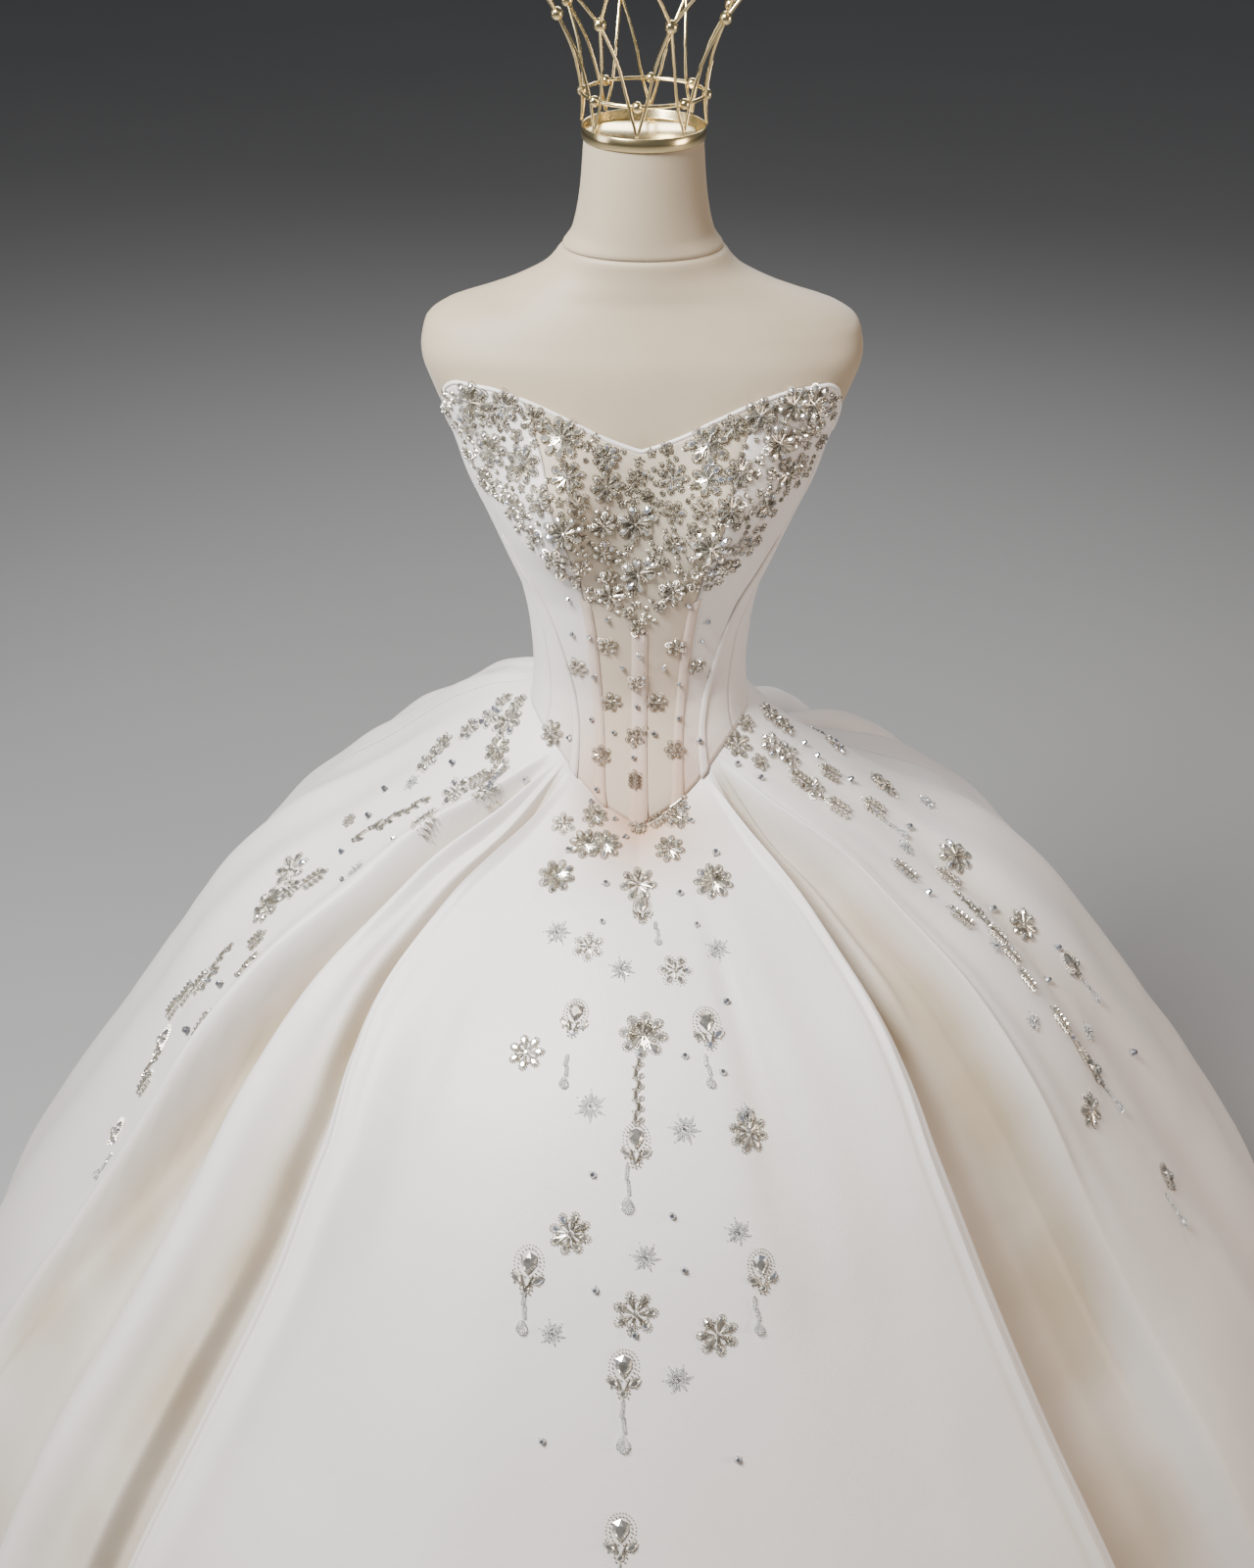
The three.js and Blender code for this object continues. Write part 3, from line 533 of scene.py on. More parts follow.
def unit(v):
    return v / np.maximum(np.linalg.norm(v, axis=-1, keepdims=True), 1e-9)


def grid_normals(grid):
    """Outward normals of a grid whose rows run down and whose columns run to the wearer's left."""
    return unit(np.cross(np.gradient(grid, axis=0), np.gradient(grid, axis=1)))


def without_gathered(points, faces):
    """Where a face has corners in one place, as at a pole, they become one point and the face loses an edge.
    Gives the points in use, the faces' corners in a row, and how many each face has."""
    _, first, place = np.unique(np.round(points, 6), axis=0, return_index=True, return_inverse=True)
    place = np.ravel(place)
    spots = place[faces]
    gathered = spots == np.roll(spots, 1, axis=1)
    faces = np.where(np.isin(spots, spots[gathered]), first[spots], faces)
    kept = ~gathered & ((~gathered).sum(1) > 2)[:, None]
    used, corners = np.unique(faces[kept], return_inverse=True)
    sides = kept.sum(1)
    return used, np.ravel(corners), sides[sides > 0]


def make_mesh(name, points, faces, uv=None, marks=None, smooth_faces=True):
    """A mesh object from points in millimetres and faces of one size. uv and marks, named values that its
    material reads, are given per point."""
    points = np.asarray(points, float).reshape(-1, 3)
    used, corners, sides = without_gathered(points, np.asarray(faces, int))
    points = points[used]
    mesh = bpy.data.meshes.new(name)
    mesh.vertices.add(len(points))
    mesh.vertices.foreach_set("co", (points * MM).astype(np.float32).ravel())
    mesh.loops.add(len(corners))
    mesh.loops.foreach_set("vertex_index", corners.astype(np.int32))
    mesh.polygons.add(len(sides))
    mesh.polygons.foreach_set("loop_start", (np.cumsum(sides) - sides).astype(np.int32))
    mesh.polygons.foreach_set("use_smooth", np.full(len(sides), smooth_faces))
    if uv is not None:
        layer = mesh.uv_layers.new(name="cloth")
        uv = np.asarray(uv, float).reshape(-1, 2)[used][corners]
        layer.data.foreach_set("uv", uv.astype(np.float32).ravel())
    for mark, values in (marks or {}).items():
        values = np.ravel(values)[used].astype(np.float32)
        mesh.attributes.new(mark, "FLOAT", "POINT").data.foreach_set("value", values)
    mesh.update()
    mesh.validate()
    thing = bpy.data.objects.new(name, mesh)
    bpy.context.scene.collection.objects.link(thing)
    return thing


def grid_faces(rows, columns, start=0, flip=False, round_it=False):
    """The quads of a grid of points in row order. round_it joins the last column to the first."""
    r, c = np.meshgrid(np.arange(rows - 1), np.arange(columns if round_it else columns - 1), indexing="ij")
    after = (c + 1) % columns
    here, below = r * columns, (r + 1) * columns
    quads = np.stack([here + c, below + c, below + after, here + after], -1).reshape(-1, 4) + start
    return quads[:, ::-1] if flip else quads


def cloth_uv(grid):
    """The cloth's own coordinates in metres: across is measured along each row from its middle, and along is
    measured down each column."""
    across = np.zeros(grid.shape[:2])
    across[:, 1:] = np.cumsum(np.linalg.norm(np.diff(grid, axis=1), axis=-1), axis=1)
    across -= across[:, across.shape[1] // 2 : across.shape[1] // 2 + 1]
    along = np.zeros(grid.shape[:2])
    along[1:] = np.cumsum(np.linalg.norm(np.diff(grid, axis=0), axis=-1), axis=0)
    return np.stack([across, along], -1) * MM


def shell(name, outer, thickness, marks, level_hem=False):
    """A closed thin wall: the grid, the same grid moved inwards along its normals, and quads round the border.
    Near the floor the inner grid stays above it."""
    rows, columns = outer.shape[:2]
    normal = grid_normals(outer)
    if level_hem:
        normal[-1, :, 2] = 0
        normal[-1] = unit(normal[-1])
    inner = outer - normal * thickness
    inner[..., 2] = np.maximum(inner[..., 2], outer[..., 2] / 2)
    count = rows * columns
    at = np.arange(count).reshape(rows, columns)
    border = np.concatenate([at[0, :-1], at[:-1, -1], at[-1, :0:-1], at[:0:-1, 0]])
    after = np.roll(border, -1)
    rim = np.stack([border, after, after + count, border + count], -1)
    faces = np.concatenate([grid_faces(rows, columns), grid_faces(rows, columns, count, flip=True), rim])
    uv = np.concatenate([cloth_uv(outer).reshape(-1, 2)] * 2)
    marks = {mark: np.tile(np.broadcast_to(at, (rows, columns)).ravel(), 2) for mark, at in marks.items()}
    return make_mesh(name, np.concatenate([outer.reshape(-1, 3), inner.reshape(-1, 3)]), faces, uv, marks)


def tube_rings(path, closed, radius, sides):
    """Circles of points carried along a path, each square to it. A circle starts level, or along X where the
    path runs upright."""
    step = np.roll(path, -1, 0) - np.roll(path, 1, 0)
    if not closed:
        step[0], step[-1] = path[1] - path[0], path[-1] - path[-2]
    along = unit(step)
    up = np.where(np.abs(along[:, 2:]) > 0.95, [[1.0, 0, 0]], [[0, 0, 1.0]])
    across = unit(np.cross(along, up))
    other = np.cross(across, along)
    a = np.linspace(0, 2 * np.pi, sides, endpoint=False)
    ring = across[:, None] * np.cos(a)[:, None] + other[:, None] * np.sin(a)[:, None]
    return path[:, None] + radius * ring


def joined_mesh(name, pieces, smooth_faces=True):
    """One mesh from several (points, quads) pieces."""
    starts = np.cumsum([0] + [len(points) for points, _ in pieces])
    points = np.concatenate([points for points, _ in pieces])
    faces = np.concatenate([quads + start for (_, quads), start in zip(pieces, starts)])
    return make_mesh(name, points, faces, smooth_faces=smooth_faces)


def tube(path, radius, sides=10, closed=False):
    """A round tube as (points, quads), with its ends drawn together."""
    path = np.asarray(path, float)
    rings = tube_rings(path, closed, radius, sides)
    if closed:
        rings = np.concatenate([rings, rings[:1]])
    else:
        first, last = (np.repeat(path[[end], None], sides, 1) for end in (0, -1))
        rings = np.concatenate([first, rings, last])
    return rings.reshape(-1, 3), grid_faces(len(rings), sides, round_it=True)


def ball(centre, radius, sides=14, rows=9):
    """A sphere as (points, quads)."""
    a = np.linspace(0, 2 * np.pi, sides, endpoint=False)
    b = np.linspace(0, np.pi, rows)[:, None]
    points = np.stack(np.broadcast_arrays(np.sin(b) * np.cos(a), np.sin(b) * np.sin(a), np.cos(b)), -1)
    return (np.asarray(centre) + radius * points).reshape(-1, 3), grid_faces(rows, sides, round_it=True)


def turned(outline, sides):
    """A profile of (radius, height) turned round the Z axis, as (points, quads). It starts on the axis at the
    top and runs outwards and down."""
    a = np.linspace(0, 2 * np.pi, sides, endpoint=False)
    r, z = np.array(outline, float).T
    points = np.stack([r[:, None] * np.cos(a), r[:, None] * np.sin(a), np.repeat(z[:, None], sides, 1)], -1)
    return points.reshape(-1, 3), grid_faces(len(outline), sides, round_it=True)


def spline(points, count):
    """A uniform Catmull-Rom curve through the points, at evenly spaced parameters."""
    points = np.asarray(points, float)
    padded = np.concatenate([[2 * points[0] - points[1]], points, [2 * points[-1] - points[-2]]])
    at = np.linspace(0, len(points) - 1, count)
    i = np.minimum(at.astype(int), len(points) - 2)
    t = (at - i)[:, None]
    a, b, c, d = (padded[i + k] for k in range(4))
    return 0.5 * (2 * b + (c - a) * t + (2 * a - 5 * b + 4 * c - d) * t**2 + (3 * b - a - 3 * c + d) * t**3)


# Materials


class Value:
    """A socket of a material. Sums, products and powers of values add the Math nodes that work them out."""

    def __init__(self, finish, socket):
        self.finish = finish
        self.socket = socket

    def math(self, operation, *values):
        return self.finish.node("ShaderNodeMath", {"operation": operation}, dict(enumerate(values))).out()

    def __add__(self, other):
        return self.math("ADD", self, other)

    def __sub__(self, other):
        return self.math("SUBTRACT", self, other)

    def __rsub__(self, other):
        return self.math("SUBTRACT", other, self)

    def __mul__(self, other):
        return self.math("MULTIPLY", self, other)

    def __pow__(self, other):
        return self.math("POWER", self, other)

    __radd__ = __add__
    __rmul__ = __mul__

    def sine(self):
        return self.math("SINE", self)

    def size(self):
        return self.math("ABSOLUTE", self)


class Node:
    """A node of a material, whose outputs are read as values."""

    def __init__(self, finish, node):
        self.finish = finish
        self.node = node

    def out(self, key=0):
        return Value(self.finish, self.node.outputs[key])


class Finish:
    """A material built node by node."""

    def __init__(self, name):
        self.material = bpy.data.materials.new(name)
        self.material.use_nodes = True
        self.tree = self.material.node_tree
        self.tree.nodes.clear()

    def node(self, kind, settings, inputs):
        """Adds a node: its settings first, then the value or link of each socket, by name or number."""
        made = self.tree.nodes.new(kind)
        for key, value in settings.items():
            setattr(made, key, value)
        for key, value in inputs.items():
            if isinstance(value, Value):
                self.tree.links.new(value.socket, made.inputs[key])
            else:
                made.inputs[key].default_value = value
        return Node(self, made)

    def noise(self, vector, scale, detail=3, roughness=0.5):
        settings = {"noise_dimensions": "3D"}
        inputs = {"Vector": vector, "Scale": scale, "Detail": detail, "Roughness": roughness}
        return self.node("ShaderNodeTexNoise", settings, inputs).out("Fac")

    def ramp(self, value, low, high):
        """0 at low and 1 at high, held between them."""
        settings = {"clamp": True, "interpolation_type": "SMOOTHSTEP"}
        inputs = {"Value": value, "From Min": low, "From Max": high}
        return self.node("ShaderNodeMapRange", settings, inputs).out()

    def colour(self, factor, first, second):
        """The colour between two, by a factor from 0 to 1."""
        settings = {"data_type": "RGBA", "clamp_factor": True}
        return self.node("ShaderNodeMix", settings, {0: factor, 6: first, 7: second}).out(2)

    def bump(self, height, strength, distance, before=None):
        inputs = {"Height": height, "Strength": strength, "Distance": distance}
        if before is not None:
            inputs["Normal"] = before
        return self.node("ShaderNodeBump", {}, inputs).out()

    def place(self):
        return self.node("ShaderNodeTexCoord", {}, {}).out("Object")

    def cloth(self):
        """The cloth's own coordinates in metres, as (vector, across, along)."""
        vector = self.node("ShaderNodeUVMap", {"uv_map": "cloth"}, {}).out()
        parts = self.node("ShaderNodeSeparateXYZ", {}, {0: vector})
        return vector, parts.out("X"), parts.out("Y")

    def mark(self, name):
        """A value kept in the mesh."""
        return self.node("ShaderNodeAttribute", {"attribute_name": name}, {}).out("Fac")

    def done(self, inputs):
        """Ends the material in one Principled shader with these inputs."""
        shader = self.node("ShaderNodeBsdfPrincipled", {}, inputs)
        self.node("ShaderNodeOutputMaterial", {}, {"Surface": shader.out()})
        return self.material


def rgb(r, g, b):
    return (r, g, b, 1.0)


TURN = 2 * np.pi


def weave(across, along, pitch):
    """A diagonal dotted weave: the product of two sine waves that cross the cloth at half right angles."""
    rising = ((across + along) * (TURN / pitch)).sine()
    falling = ((across - along) * (TURN / pitch)).sine()
    return rising * falling


def satin_finish(name, light, painted_shade):
    """Heavy ivory satin, with shade painted in warm beige into its folds and darker shade and shadow painted
    along the seam mark, a fine dotted weave and slow unevenness.
    """
    finish = Finish(name)
    vector, across, along = finish.cloth()
    slow = finish.noise(vector, 5, 3)
    ribs = weave(across, along, 0.0028)
    # Painted shade: the depth mark turns the ivory to warm beige in the folds.
    tone = finish.colour(finish.mark("depth"), rgb(*light), rgb(*painted_shade))
    darker = tuple(c * 0.955 for c in light)
    tone = finish.colour(finish.ramp(slow, 0.35, 0.8) * 0.5, tone, rgb(*darker))
    tone = finish.colour(finish.mark("nude"), tone, rgb(0.6, 0.385, 0.26))
    # Painted shade and shadow: the seam mark darkens the bodice's seam grooves, its bone line and its channels'
    # stitched lines and edges, and the lines under the skirt's folded edges and at the folds' tacked ends.
    tone = finish.colour(finish.mark("seam") * 0.7, tone, rgb(0.36, 0.28, 0.21))
    tone = finish.colour(finish.ramp(ribs, 0.2, 1) * 0.06, tone, rgb(0.62, 0.57, 0.5))
    rough = 0.3 + 0.1 * slow + 0.04 * ribs
    ripples = finish.bump(finish.noise(vector, 26, 2), 0.12, 0.004)
    normal = finish.bump(ribs, 0.22, 0.0004, ripples)
    return finish.done(
        {
            "Base Color": tone,
            "Roughness": rough,
            "Normal": normal,
            "Specular IOR Level": 0.5,
            "Sheen Weight": 0.18,
            "Sheen Roughness": 0.4,
        }
    )


def net_finish(name):
    """Net over a nude ground: small holes between crossing threads, warmer towards the waist seam."""
    finish = Finish(name)
    vector, across, along = finish.cloth()
    pitch = 0.0019
    holes = ((across * (TURN / pitch)).sine() * (along * (TURN / pitch)).sine()).size()
    slow = finish.noise(vector, 9, 3)
    ground = finish.colour(finish.mark("depth"), rgb(0.54, 0.45, 0.325), rgb(0.6, 0.44, 0.31))
    ground = finish.colour(finish.ramp(slow, 0.3, 0.8) * 0.35, ground, rgb(0.585, 0.485, 0.355))
    tone = finish.colour(finish.ramp(holes, 0.1, 0.75) * 0.35, rgb(0.72, 0.65, 0.54), ground)
    tone = finish.colour(0.75, tone, ground)
    normal = finish.bump(holes, 0.25, 0.0003)
    rough = 0.5 + 0.12 * slow
    return finish.done({"Base Color": tone, "Roughness": rough, "Normal": normal, "Sheen Weight": 0.25})


def form_finish(name):
    """The form's smooth jersey cover: a fine knit, with faint blotches where hands have held it."""
    finish = Finish(name)
    place = finish.place()
    blotch = finish.noise(place, 9, 4, 0.6)
    knit = finish.noise(place, 900, 2)
    tone = finish.colour(finish.ramp(blotch, 0.4, 0.75) * 0.5, rgb(0.45, 0.365, 0.25), rgb(0.38, 0.3, 0.2))
    normal = finish.bump(knit, 0.08, 0.0004, finish.bump(blotch, 0.1, 0.003))
    rough = 0.5 + 0.15 * blotch
    return finish.done({"Base Color": tone, "Roughness": rough, "Normal": normal, "Sheen Weight": 0.15})


def metal_finish(name, tint, dull, rough, brush=0.0):
    """Polished or brushed metal with faint smears."""
    finish = Finish(name)
    place = finish.place()
    smear = finish.noise(place, 22, 3)
    lines = finish.noise(place, 420, 2)
    tone = finish.colour(finish.ramp(smear, 0.45, 0.8) * 0.5, rgb(*tint), rgb(*dull))
    return finish.done(
        {
            "Base Color": tone,
            "Metallic": 1.0,
            "Roughness": rough + 0.12 * smear + brush * lines,
            "Normal": finish.bump(lines, 0.03 + brush, 0.0002),
        }
    )


# The satin's own ivory, and the warm beige of the shade painted into its folds.
SATIN = satin_finish("ivory_satin", (0.86, 0.81, 0.77), (0.46, 0.37, 0.245))
NET = net_finish("beaded_net")
COVER = form_finish("form_jersey")
GOLD = metal_finish("polished_gold", (1.0, 0.82, 0.45), (0.9, 0.7, 0.34), 0.14)
STEEL = metal_finish("satin_steel", (0.6, 0.6, 0.61), (0.48, 0.48, 0.5), 0.24, 0.1)


def dress(thing, slot, *materials):
    """Gives a piece its materials and its place on the body. Its slot is not used."""
    for material in materials:
        thing.data.materials.append(material)
    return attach(thing, BODY)


# Camera, light and floor


CAMERA_PLACE = (0, -1.5275, 1.9355)
CAMERA_DOWN = 34.13
CAMERA_ROLL = 0.45
SENSOR = 36
LENS = 40.5
SHIFT = -0.0075


def look():
    """The photograph's view, worked out from the gown's seams and outline: a camera held a little above eye
    height and turned down."""
    data = bpy.data.cameras.new("camera")
    data.sensor_fit = "AUTO"
    data.sensor_width = SENSOR
    data.lens = LENS
    data.shift_x = SHIFT
    camera = bpy.data.objects.new("camera", data)
    tilt, roll = np.radians(CAMERA_DOWN), np.radians(CAMERA_ROLL)
    turned_down = Matrix.Rotation(np.pi / 2 - tilt, 4, "X") @ Matrix.Rotation(roll, 4, "Z")
    camera.matrix_world = Matrix.Translation(CAMERA_PLACE) @ turned_down
    bpy.context.scene.collection.objects.link(camera)
    bpy.context.scene.camera = camera


# The lights: place, what each faces, width and height, power and tint.
LIGHTS = {
    "key": ((-1.15, -1.0, 3.0), (0, -0.2, 0.8), (0.9, 0.7), 172, (0.985, 0.99, 1)),
    "fill_left": ((3.3, -1.1, 1.3), (0, -0.1, 0.6), (1.2, 1.6), 62, (1, 0.82, 0.69)),
    "fill_right": ((-3.4, -0.6, 1.8), (0, 0, 0.8), (1.2, 2.0), 24, (0.96, 0.97, 1)),
    "back": ((0.4, 2.6, 3.2), (0, 0, 0.9), (2.0, 1.2), 60, (0.97, 0.98, 1)),
}
FLOOR_HALF = 14000
FLOOR_BACK = 4000
FLOOR_DROP = 0.6


def softbox(name, place, towards, size, power, tint):
    data = bpy.data.lights.new(name, "AREA")
    data.shape = "RECTANGLE"
    data.size, data.size_y = size
    data.energy = power
    data.color = tint
    light = bpy.data.objects.new(name, data)
    z = unit(np.subtract(place, towards))
    x = unit(np.cross([0, 0, 1], z))
    y = np.cross(z, x)
    light.matrix_world = Matrix(np.vstack([np.c_[x, y, z, place], [0, 0, 0, 1]]).tolist())
    bpy.context.scene.collection.objects.link(light)


def studio():
    """A pale floor, a broad soft light over the front, a weaker one at each side and a dim surround."""
    step = np.array([-FLOOR_HALF, FLOOR_HALF])
    x, y = np.meshgrid(step, step + FLOOR_BACK)
    floor = make_mesh("floor", np.stack([x, y, 0 * x - FLOOR_DROP], -1), [[0, 1, 3, 2]])
    finish = Finish("floor_grey")
    slow = finish.noise(finish.place(), 0.6, 2)
    tone = finish.colour(slow, rgb(0.3, 0.297, 0.292), rgb(0.34, 0.336, 0.33))
    floor.data.materials.append(finish.done({"Base Color": tone, "Roughness": 0.85}))
    for name, light in LIGHTS.items():
        softbox(name, *light)
    world = bpy.data.worlds.new("surround")
    world.use_nodes = True
    surround = world.node_tree.nodes["Background"].inputs
    surround["Color"].default_value = rgb(0.9, 0.93, 1.0)
    surround["Strength"].default_value = 0.12
    bpy.context.scene.world = world


# Skirt

SHELL = 1.8
SKIRT_DOWN = np.linspace(0, 1, 130)[:, None] ** 1.35
# The folds' shade starts at this height and is full this much deeper. Both are in millimetres.
SHADE_FROM = -3
SHADE_DEPTH = 55
# More shade is painted low on the skirt, where less light reaches, and less of it towards the hem.
LOW_PAINTED_SHADE = 0.5
LOW_PAINTED_SHADE_FROM = (0.3, 0.95)
HEM_LESS_SHADE = 0.25
# The nude ground and the shade painted at the tacked ends: where they show, in places round the skirt, and
# shares of the way down.
GLOW_WIDTH = 3.2
GLOW_ENDS = (0.01, 0.115)
TACKED_AT = 12
TACKED_WIDTH = 5
TACKED_ENDS = (0, 0.03)
TUCK_UP = 5
TUCK_IN = 1.4


def depth_shade(name, knot, down):
    """The shade painted into the skirt's satin, from 0 on the pleats' crests to 1 in the deepest fold: how far
    down a place lies in the pleats, with the shade from the folds' table added, more of it painted low down
    where less light reaches, and less of it towards the hem."""
    height = pleat[name][3](knot) * smooth(*TACKED_ENDS, down)
    painted_shade = np.clip((SHADE_FROM - height) / SHADE_DEPTH, 0, 1) + creased(name, knot, down, SHADES)
    painted_shade = painted_shade + LOW_PAINTED_SHADE * smooth(*LOW_PAINTED_SHADE_FROM, down)
    return np.clip(painted_shade, 0, 1) * (1 - HEM_LESS_SHADE * smooth(0.35, 1, down))


def nude_glow(knot, down):
    """Where the nude ground under the front's top shows through the satin."""
    return hump(knot, 0, GLOW_WIDTH) * (1 - smooth(*GLOW_ENDS, down))


def painted_shadow_lines(name, knot, down):
    """Painted shadow: the thin dark lines under folded edges, and shade at the tacked ends of the folds at the
    waist.
    """
    # Shade painted where the deepest folds are tacked at the waist.
    tacked = 0.5 * hump(knot, TACKED_AT, TACKED_WIDTH) * (1 - smooth(*TACKED_ENDS, down))
    return np.maximum(creased(name, knot, down, SHADOW_LINES), tacked)


def tucked_row(name, knot):
    """The skirt's seam allowance, which goes up under the bodice's edge."""
    turn = pleat[name][0](knot)
    z = waist_seam(turn)
    x, y = section_offset(turn, z + TUCK_UP, FORM_GAP + flare(turn, z) - TUCK_IN)
    side = 1 if name == "left" else -1
    return np.stack(np.broadcast_arrays(side * x, y, z + TUCK_UP), -1)


def skirt_panel(node, halves):
    """A panel of the skirt from runs of places round it. The front panel has one run on each half."""
    grids, marks = [], {"depth": [], "nude": [], "seam": []}
    for half, knots in halves:
        columns = (knots if half == "left" else knots[::-1])[None]
        panel = skirt_point(half, columns, SKIRT_DOWN)
        grids.append(np.concatenate([tucked_row(half, columns), panel]))
        # The depth mark carries the shade painted in the folds, the seam mark the painted shadow lines, and the
        # nude mark the nude ground that shows through.
        for mark, values in (
            ("depth", depth_shade(half, columns, SKIRT_DOWN)),
            ("nude", nude_glow(columns, SKIRT_DOWN)),
            ("seam", painted_shadow_lines(half, columns, SKIRT_DOWN)),
        ):
            marks[mark].append(np.concatenate([values[:1], values]))
    marks = {mark: np.concatenate(values, 1) for mark, values in marks.items()}
    grid = np.concatenate(grids, 1)
    panel = dress(shell(f"{node}_satin", grid, SHELL, marks, level_hem=True), "satin", SATIN)
    cut(panel, grid, "gathered", "bodice_side_left", "bodice_side_right")
    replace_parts(panel, node)


def cut(piece, grid, held, *rests_on):
    """Works out the diagonals of the panel's quads, and does nothing more with them."""
    one, two = grid[1:, 1:] - grid[:-1, :-1], grid[1:, :-1] - grid[:-1, 1:]


def places(low, high, per_knot):
    return np.linspace(low, high, int(round((high - low) * per_knot)) + 1)


front_places = np.concatenate([places(0, 4, 8)[:-1], places(4, 8, 15)[:-1], places(8, FOLD_JOIN, 8)])
skirt_panel("skirt_front", (("right", front_places), ("left", front_places[1:])))
for half, _ in SIDES:
    skirt_panel(f"skirt_side_{half}", ((half, places(FOLD_JOIN, SIDE_JOIN, 8)),))
    skirt_panel(f"skirt_back_{half}", ((half, places(SIDE_JOIN, CENTRE_BACK, 9)),))

# Bodice

BODICE_DOWN = np.linspace(0, 1, 90)[:, None]
# The grooves at the seams and the bone's line, in millimetres, degrees and shares of the way down.
GROOVE = 0.9
GROOVE_WIDTH = 1.6
SEAM_SHADE_WIDTH = 1.1
BONE_GROOVE = 0.55
BONE_SHADE = 0.6
EDGE_THIN = (0.955, 1)
LINING_GAP = 0.3


def panel_grid(side, start, end, columns):
    """A bodice panel between two seams, with a shallow groove where it turns in at each seam."""
    across = np.linspace(0, 1, columns)[None]
    turn = side * seam_turn(start, end, across, BODICE_DOWN)
    z = row_height(turn, BODICE_DOWN)
    width = np.hypot(*section_point(turn, z)) * np.radians(np.abs(end(z) - start(z)))
    edge = np.minimum(across, 1 - across) * width
    inset = np.degrees(SEAM_GAP / 2 / np.hypot(*section_point(turn, z))) * (1 - 2 * across) * side
    groove = GROOVE * hump(edge, 0, GROOVE_WIDTH)
    bone = GROOVE * hump(np.abs(turn), bone_line(z), BONE_GROOVE)
    tuck = (CLOTH - GROOVE) * smooth(*EDGE_THIN, BODICE_DOWN)
    grid = bodice_point(turn + inset, z, CLOTH - groove - bone - tuck)
    # The seam mark: shade painted into the grooves at the seams and along the bone's line.
    seam = np.maximum(hump(edge, 0, SEAM_SHADE_WIDTH), 0.8 * hump(np.abs(turn), bone_line(z), BONE_SHADE))
    order = slice(None, None, side)
    return grid[:, order], turn[:, order], seam[:, order]


def bodice_panel(name, node, side, start, end, columns, slot, material):
    grid, turn, seam = panel_grid(side, start, end, columns)
    marks = {
        "depth": 0.0 if material is SATIN else smooth(0.3, 0.75, BODICE_DOWN),
        "nude": smooth(0.55, 1, BODICE_DOWN) * hump(turn, 0, 36),
        "seam": seam,
    }
    panel = dress(shell(name, grid, CLOTH - LINING_GAP, marks), slot, material)
    cut(panel, grid, "stretched", "form_body")
    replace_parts(panel, node)


def front_from(z):
    return -princess_line(z)


bodice_panel("bodice_front_net", "bodice_front_centre", 1, front_from, princess_line, 72, "beaded_net", NET)
for half, side in SIDES:
    for part, start, end, columns in (
        ("front", princess_line, side_line, 64),
        ("side", side_line, back_line, 110),
        ("back", back_line, closing_line, 76),
    ):
        node = f"bodice_{part}_{half}"
        bodice_panel(f"{node}_satin", node, side, start, end, columns, "satin", SATIN)


CHANNEL_GLOW = {"centre": 0.62, "princess": 0.62, "side": 0.08}
STITCHES_AT = 0.78
CHANNEL_CLOTH = 0.7


def channel_strip(part, node, side, line):
    """A boning channel: a low half-round casing over a seam, flat at its stitched edges."""
    start = CHANNEL_FROM[part]
    down = np.linspace(start, 1, 60)[:, None]
    middle = side * seam_turn(line, line, 0, down)
    radius = np.hypot(*section_point(middle, row_height(middle, down)))
    across = np.linspace(-1, 1, 15)[None]
    turn = middle + np.degrees(across * CHANNEL_WIDTH / 2 / radius)
    crown = (1 - np.abs(across) ** 3) * CHANNEL_RISE
    stitched = 0.5 * hump(np.abs(across), STITCHES_AT, 0.09)
    ending = smooth(0, 0.02, down - start)
    out = CLOTH + CHANNEL_GAP * 0.3 + (crown + 0.3 - stitched) * ending
    grid = bodice_point(turn, row_height(turn, down), out)
    marks = {
        "depth": 0.0,
        "nude": CHANNEL_GLOW[part] + 0.25 * smooth(0.75, 1, down),
        # Shade painted along the stitched lines and at the casing's edges.
        "seam": 0.35 * hump(np.abs(across), 0.76, 0.1) + 0.4 * smooth(0.9, 1, np.abs(across)),
    }
    strip = dress(shell(f"{node}_strip", grid, CHANNEL_CLOTH, marks), "satin", SATIN)
    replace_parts(strip, node)
    cut(strip, grid, "stretched", "form_body")


channel_strip("centre", "channel_centre", 1, centre_line)
for half, side in SIDES:
    for part, line in (("princess", princess_line), ("side", side_line)):
        channel_strip(part, f"channel_{part}_{half}", side, line)

# The neckline's turned edge, round the whole bodice.
turns = np.linspace(-180, 180, 361)[:-1]
edge_path = bodice_point(turns, row_height(turns, 0.0) + 0.2, CLOTH / 2)
binding_points, binding_faces = tube(edge_path, 2.1, 8, closed=True)
binding_uv = np.stack([binding_points[:, 0], binding_points[:, 2]], -1) * MM
binding = make_mesh("neckline_binding", binding_points, binding_faces, binding_uv)
dress(binding, "satin", SATIN)

# Dress form


FORM_SIDES = 96


def form_piece(node, heights, outs):
    """The form's skin through these heights, closed by a flat disc at each end."""
    turn = np.linspace(-180, 180, FORM_SIDES, endpoint=False)
    z = heights[:, None]
    rings = np.stack(np.broadcast_arrays(*section_offset(turn, z, outs[:, None]), z), -1)
    first, last = (np.full((1, FORM_SIDES, 3), (0, 0, heights[end])) for end in (0, -1))
    grid = np.concatenate([first, rings, last])[::-1]
    thing = make_mesh(f"{node}_cover", grid, grid_faces(len(grid), FORM_SIDES, round_it=True))
    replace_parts(dress(thing, "form_cover", COVER), node)


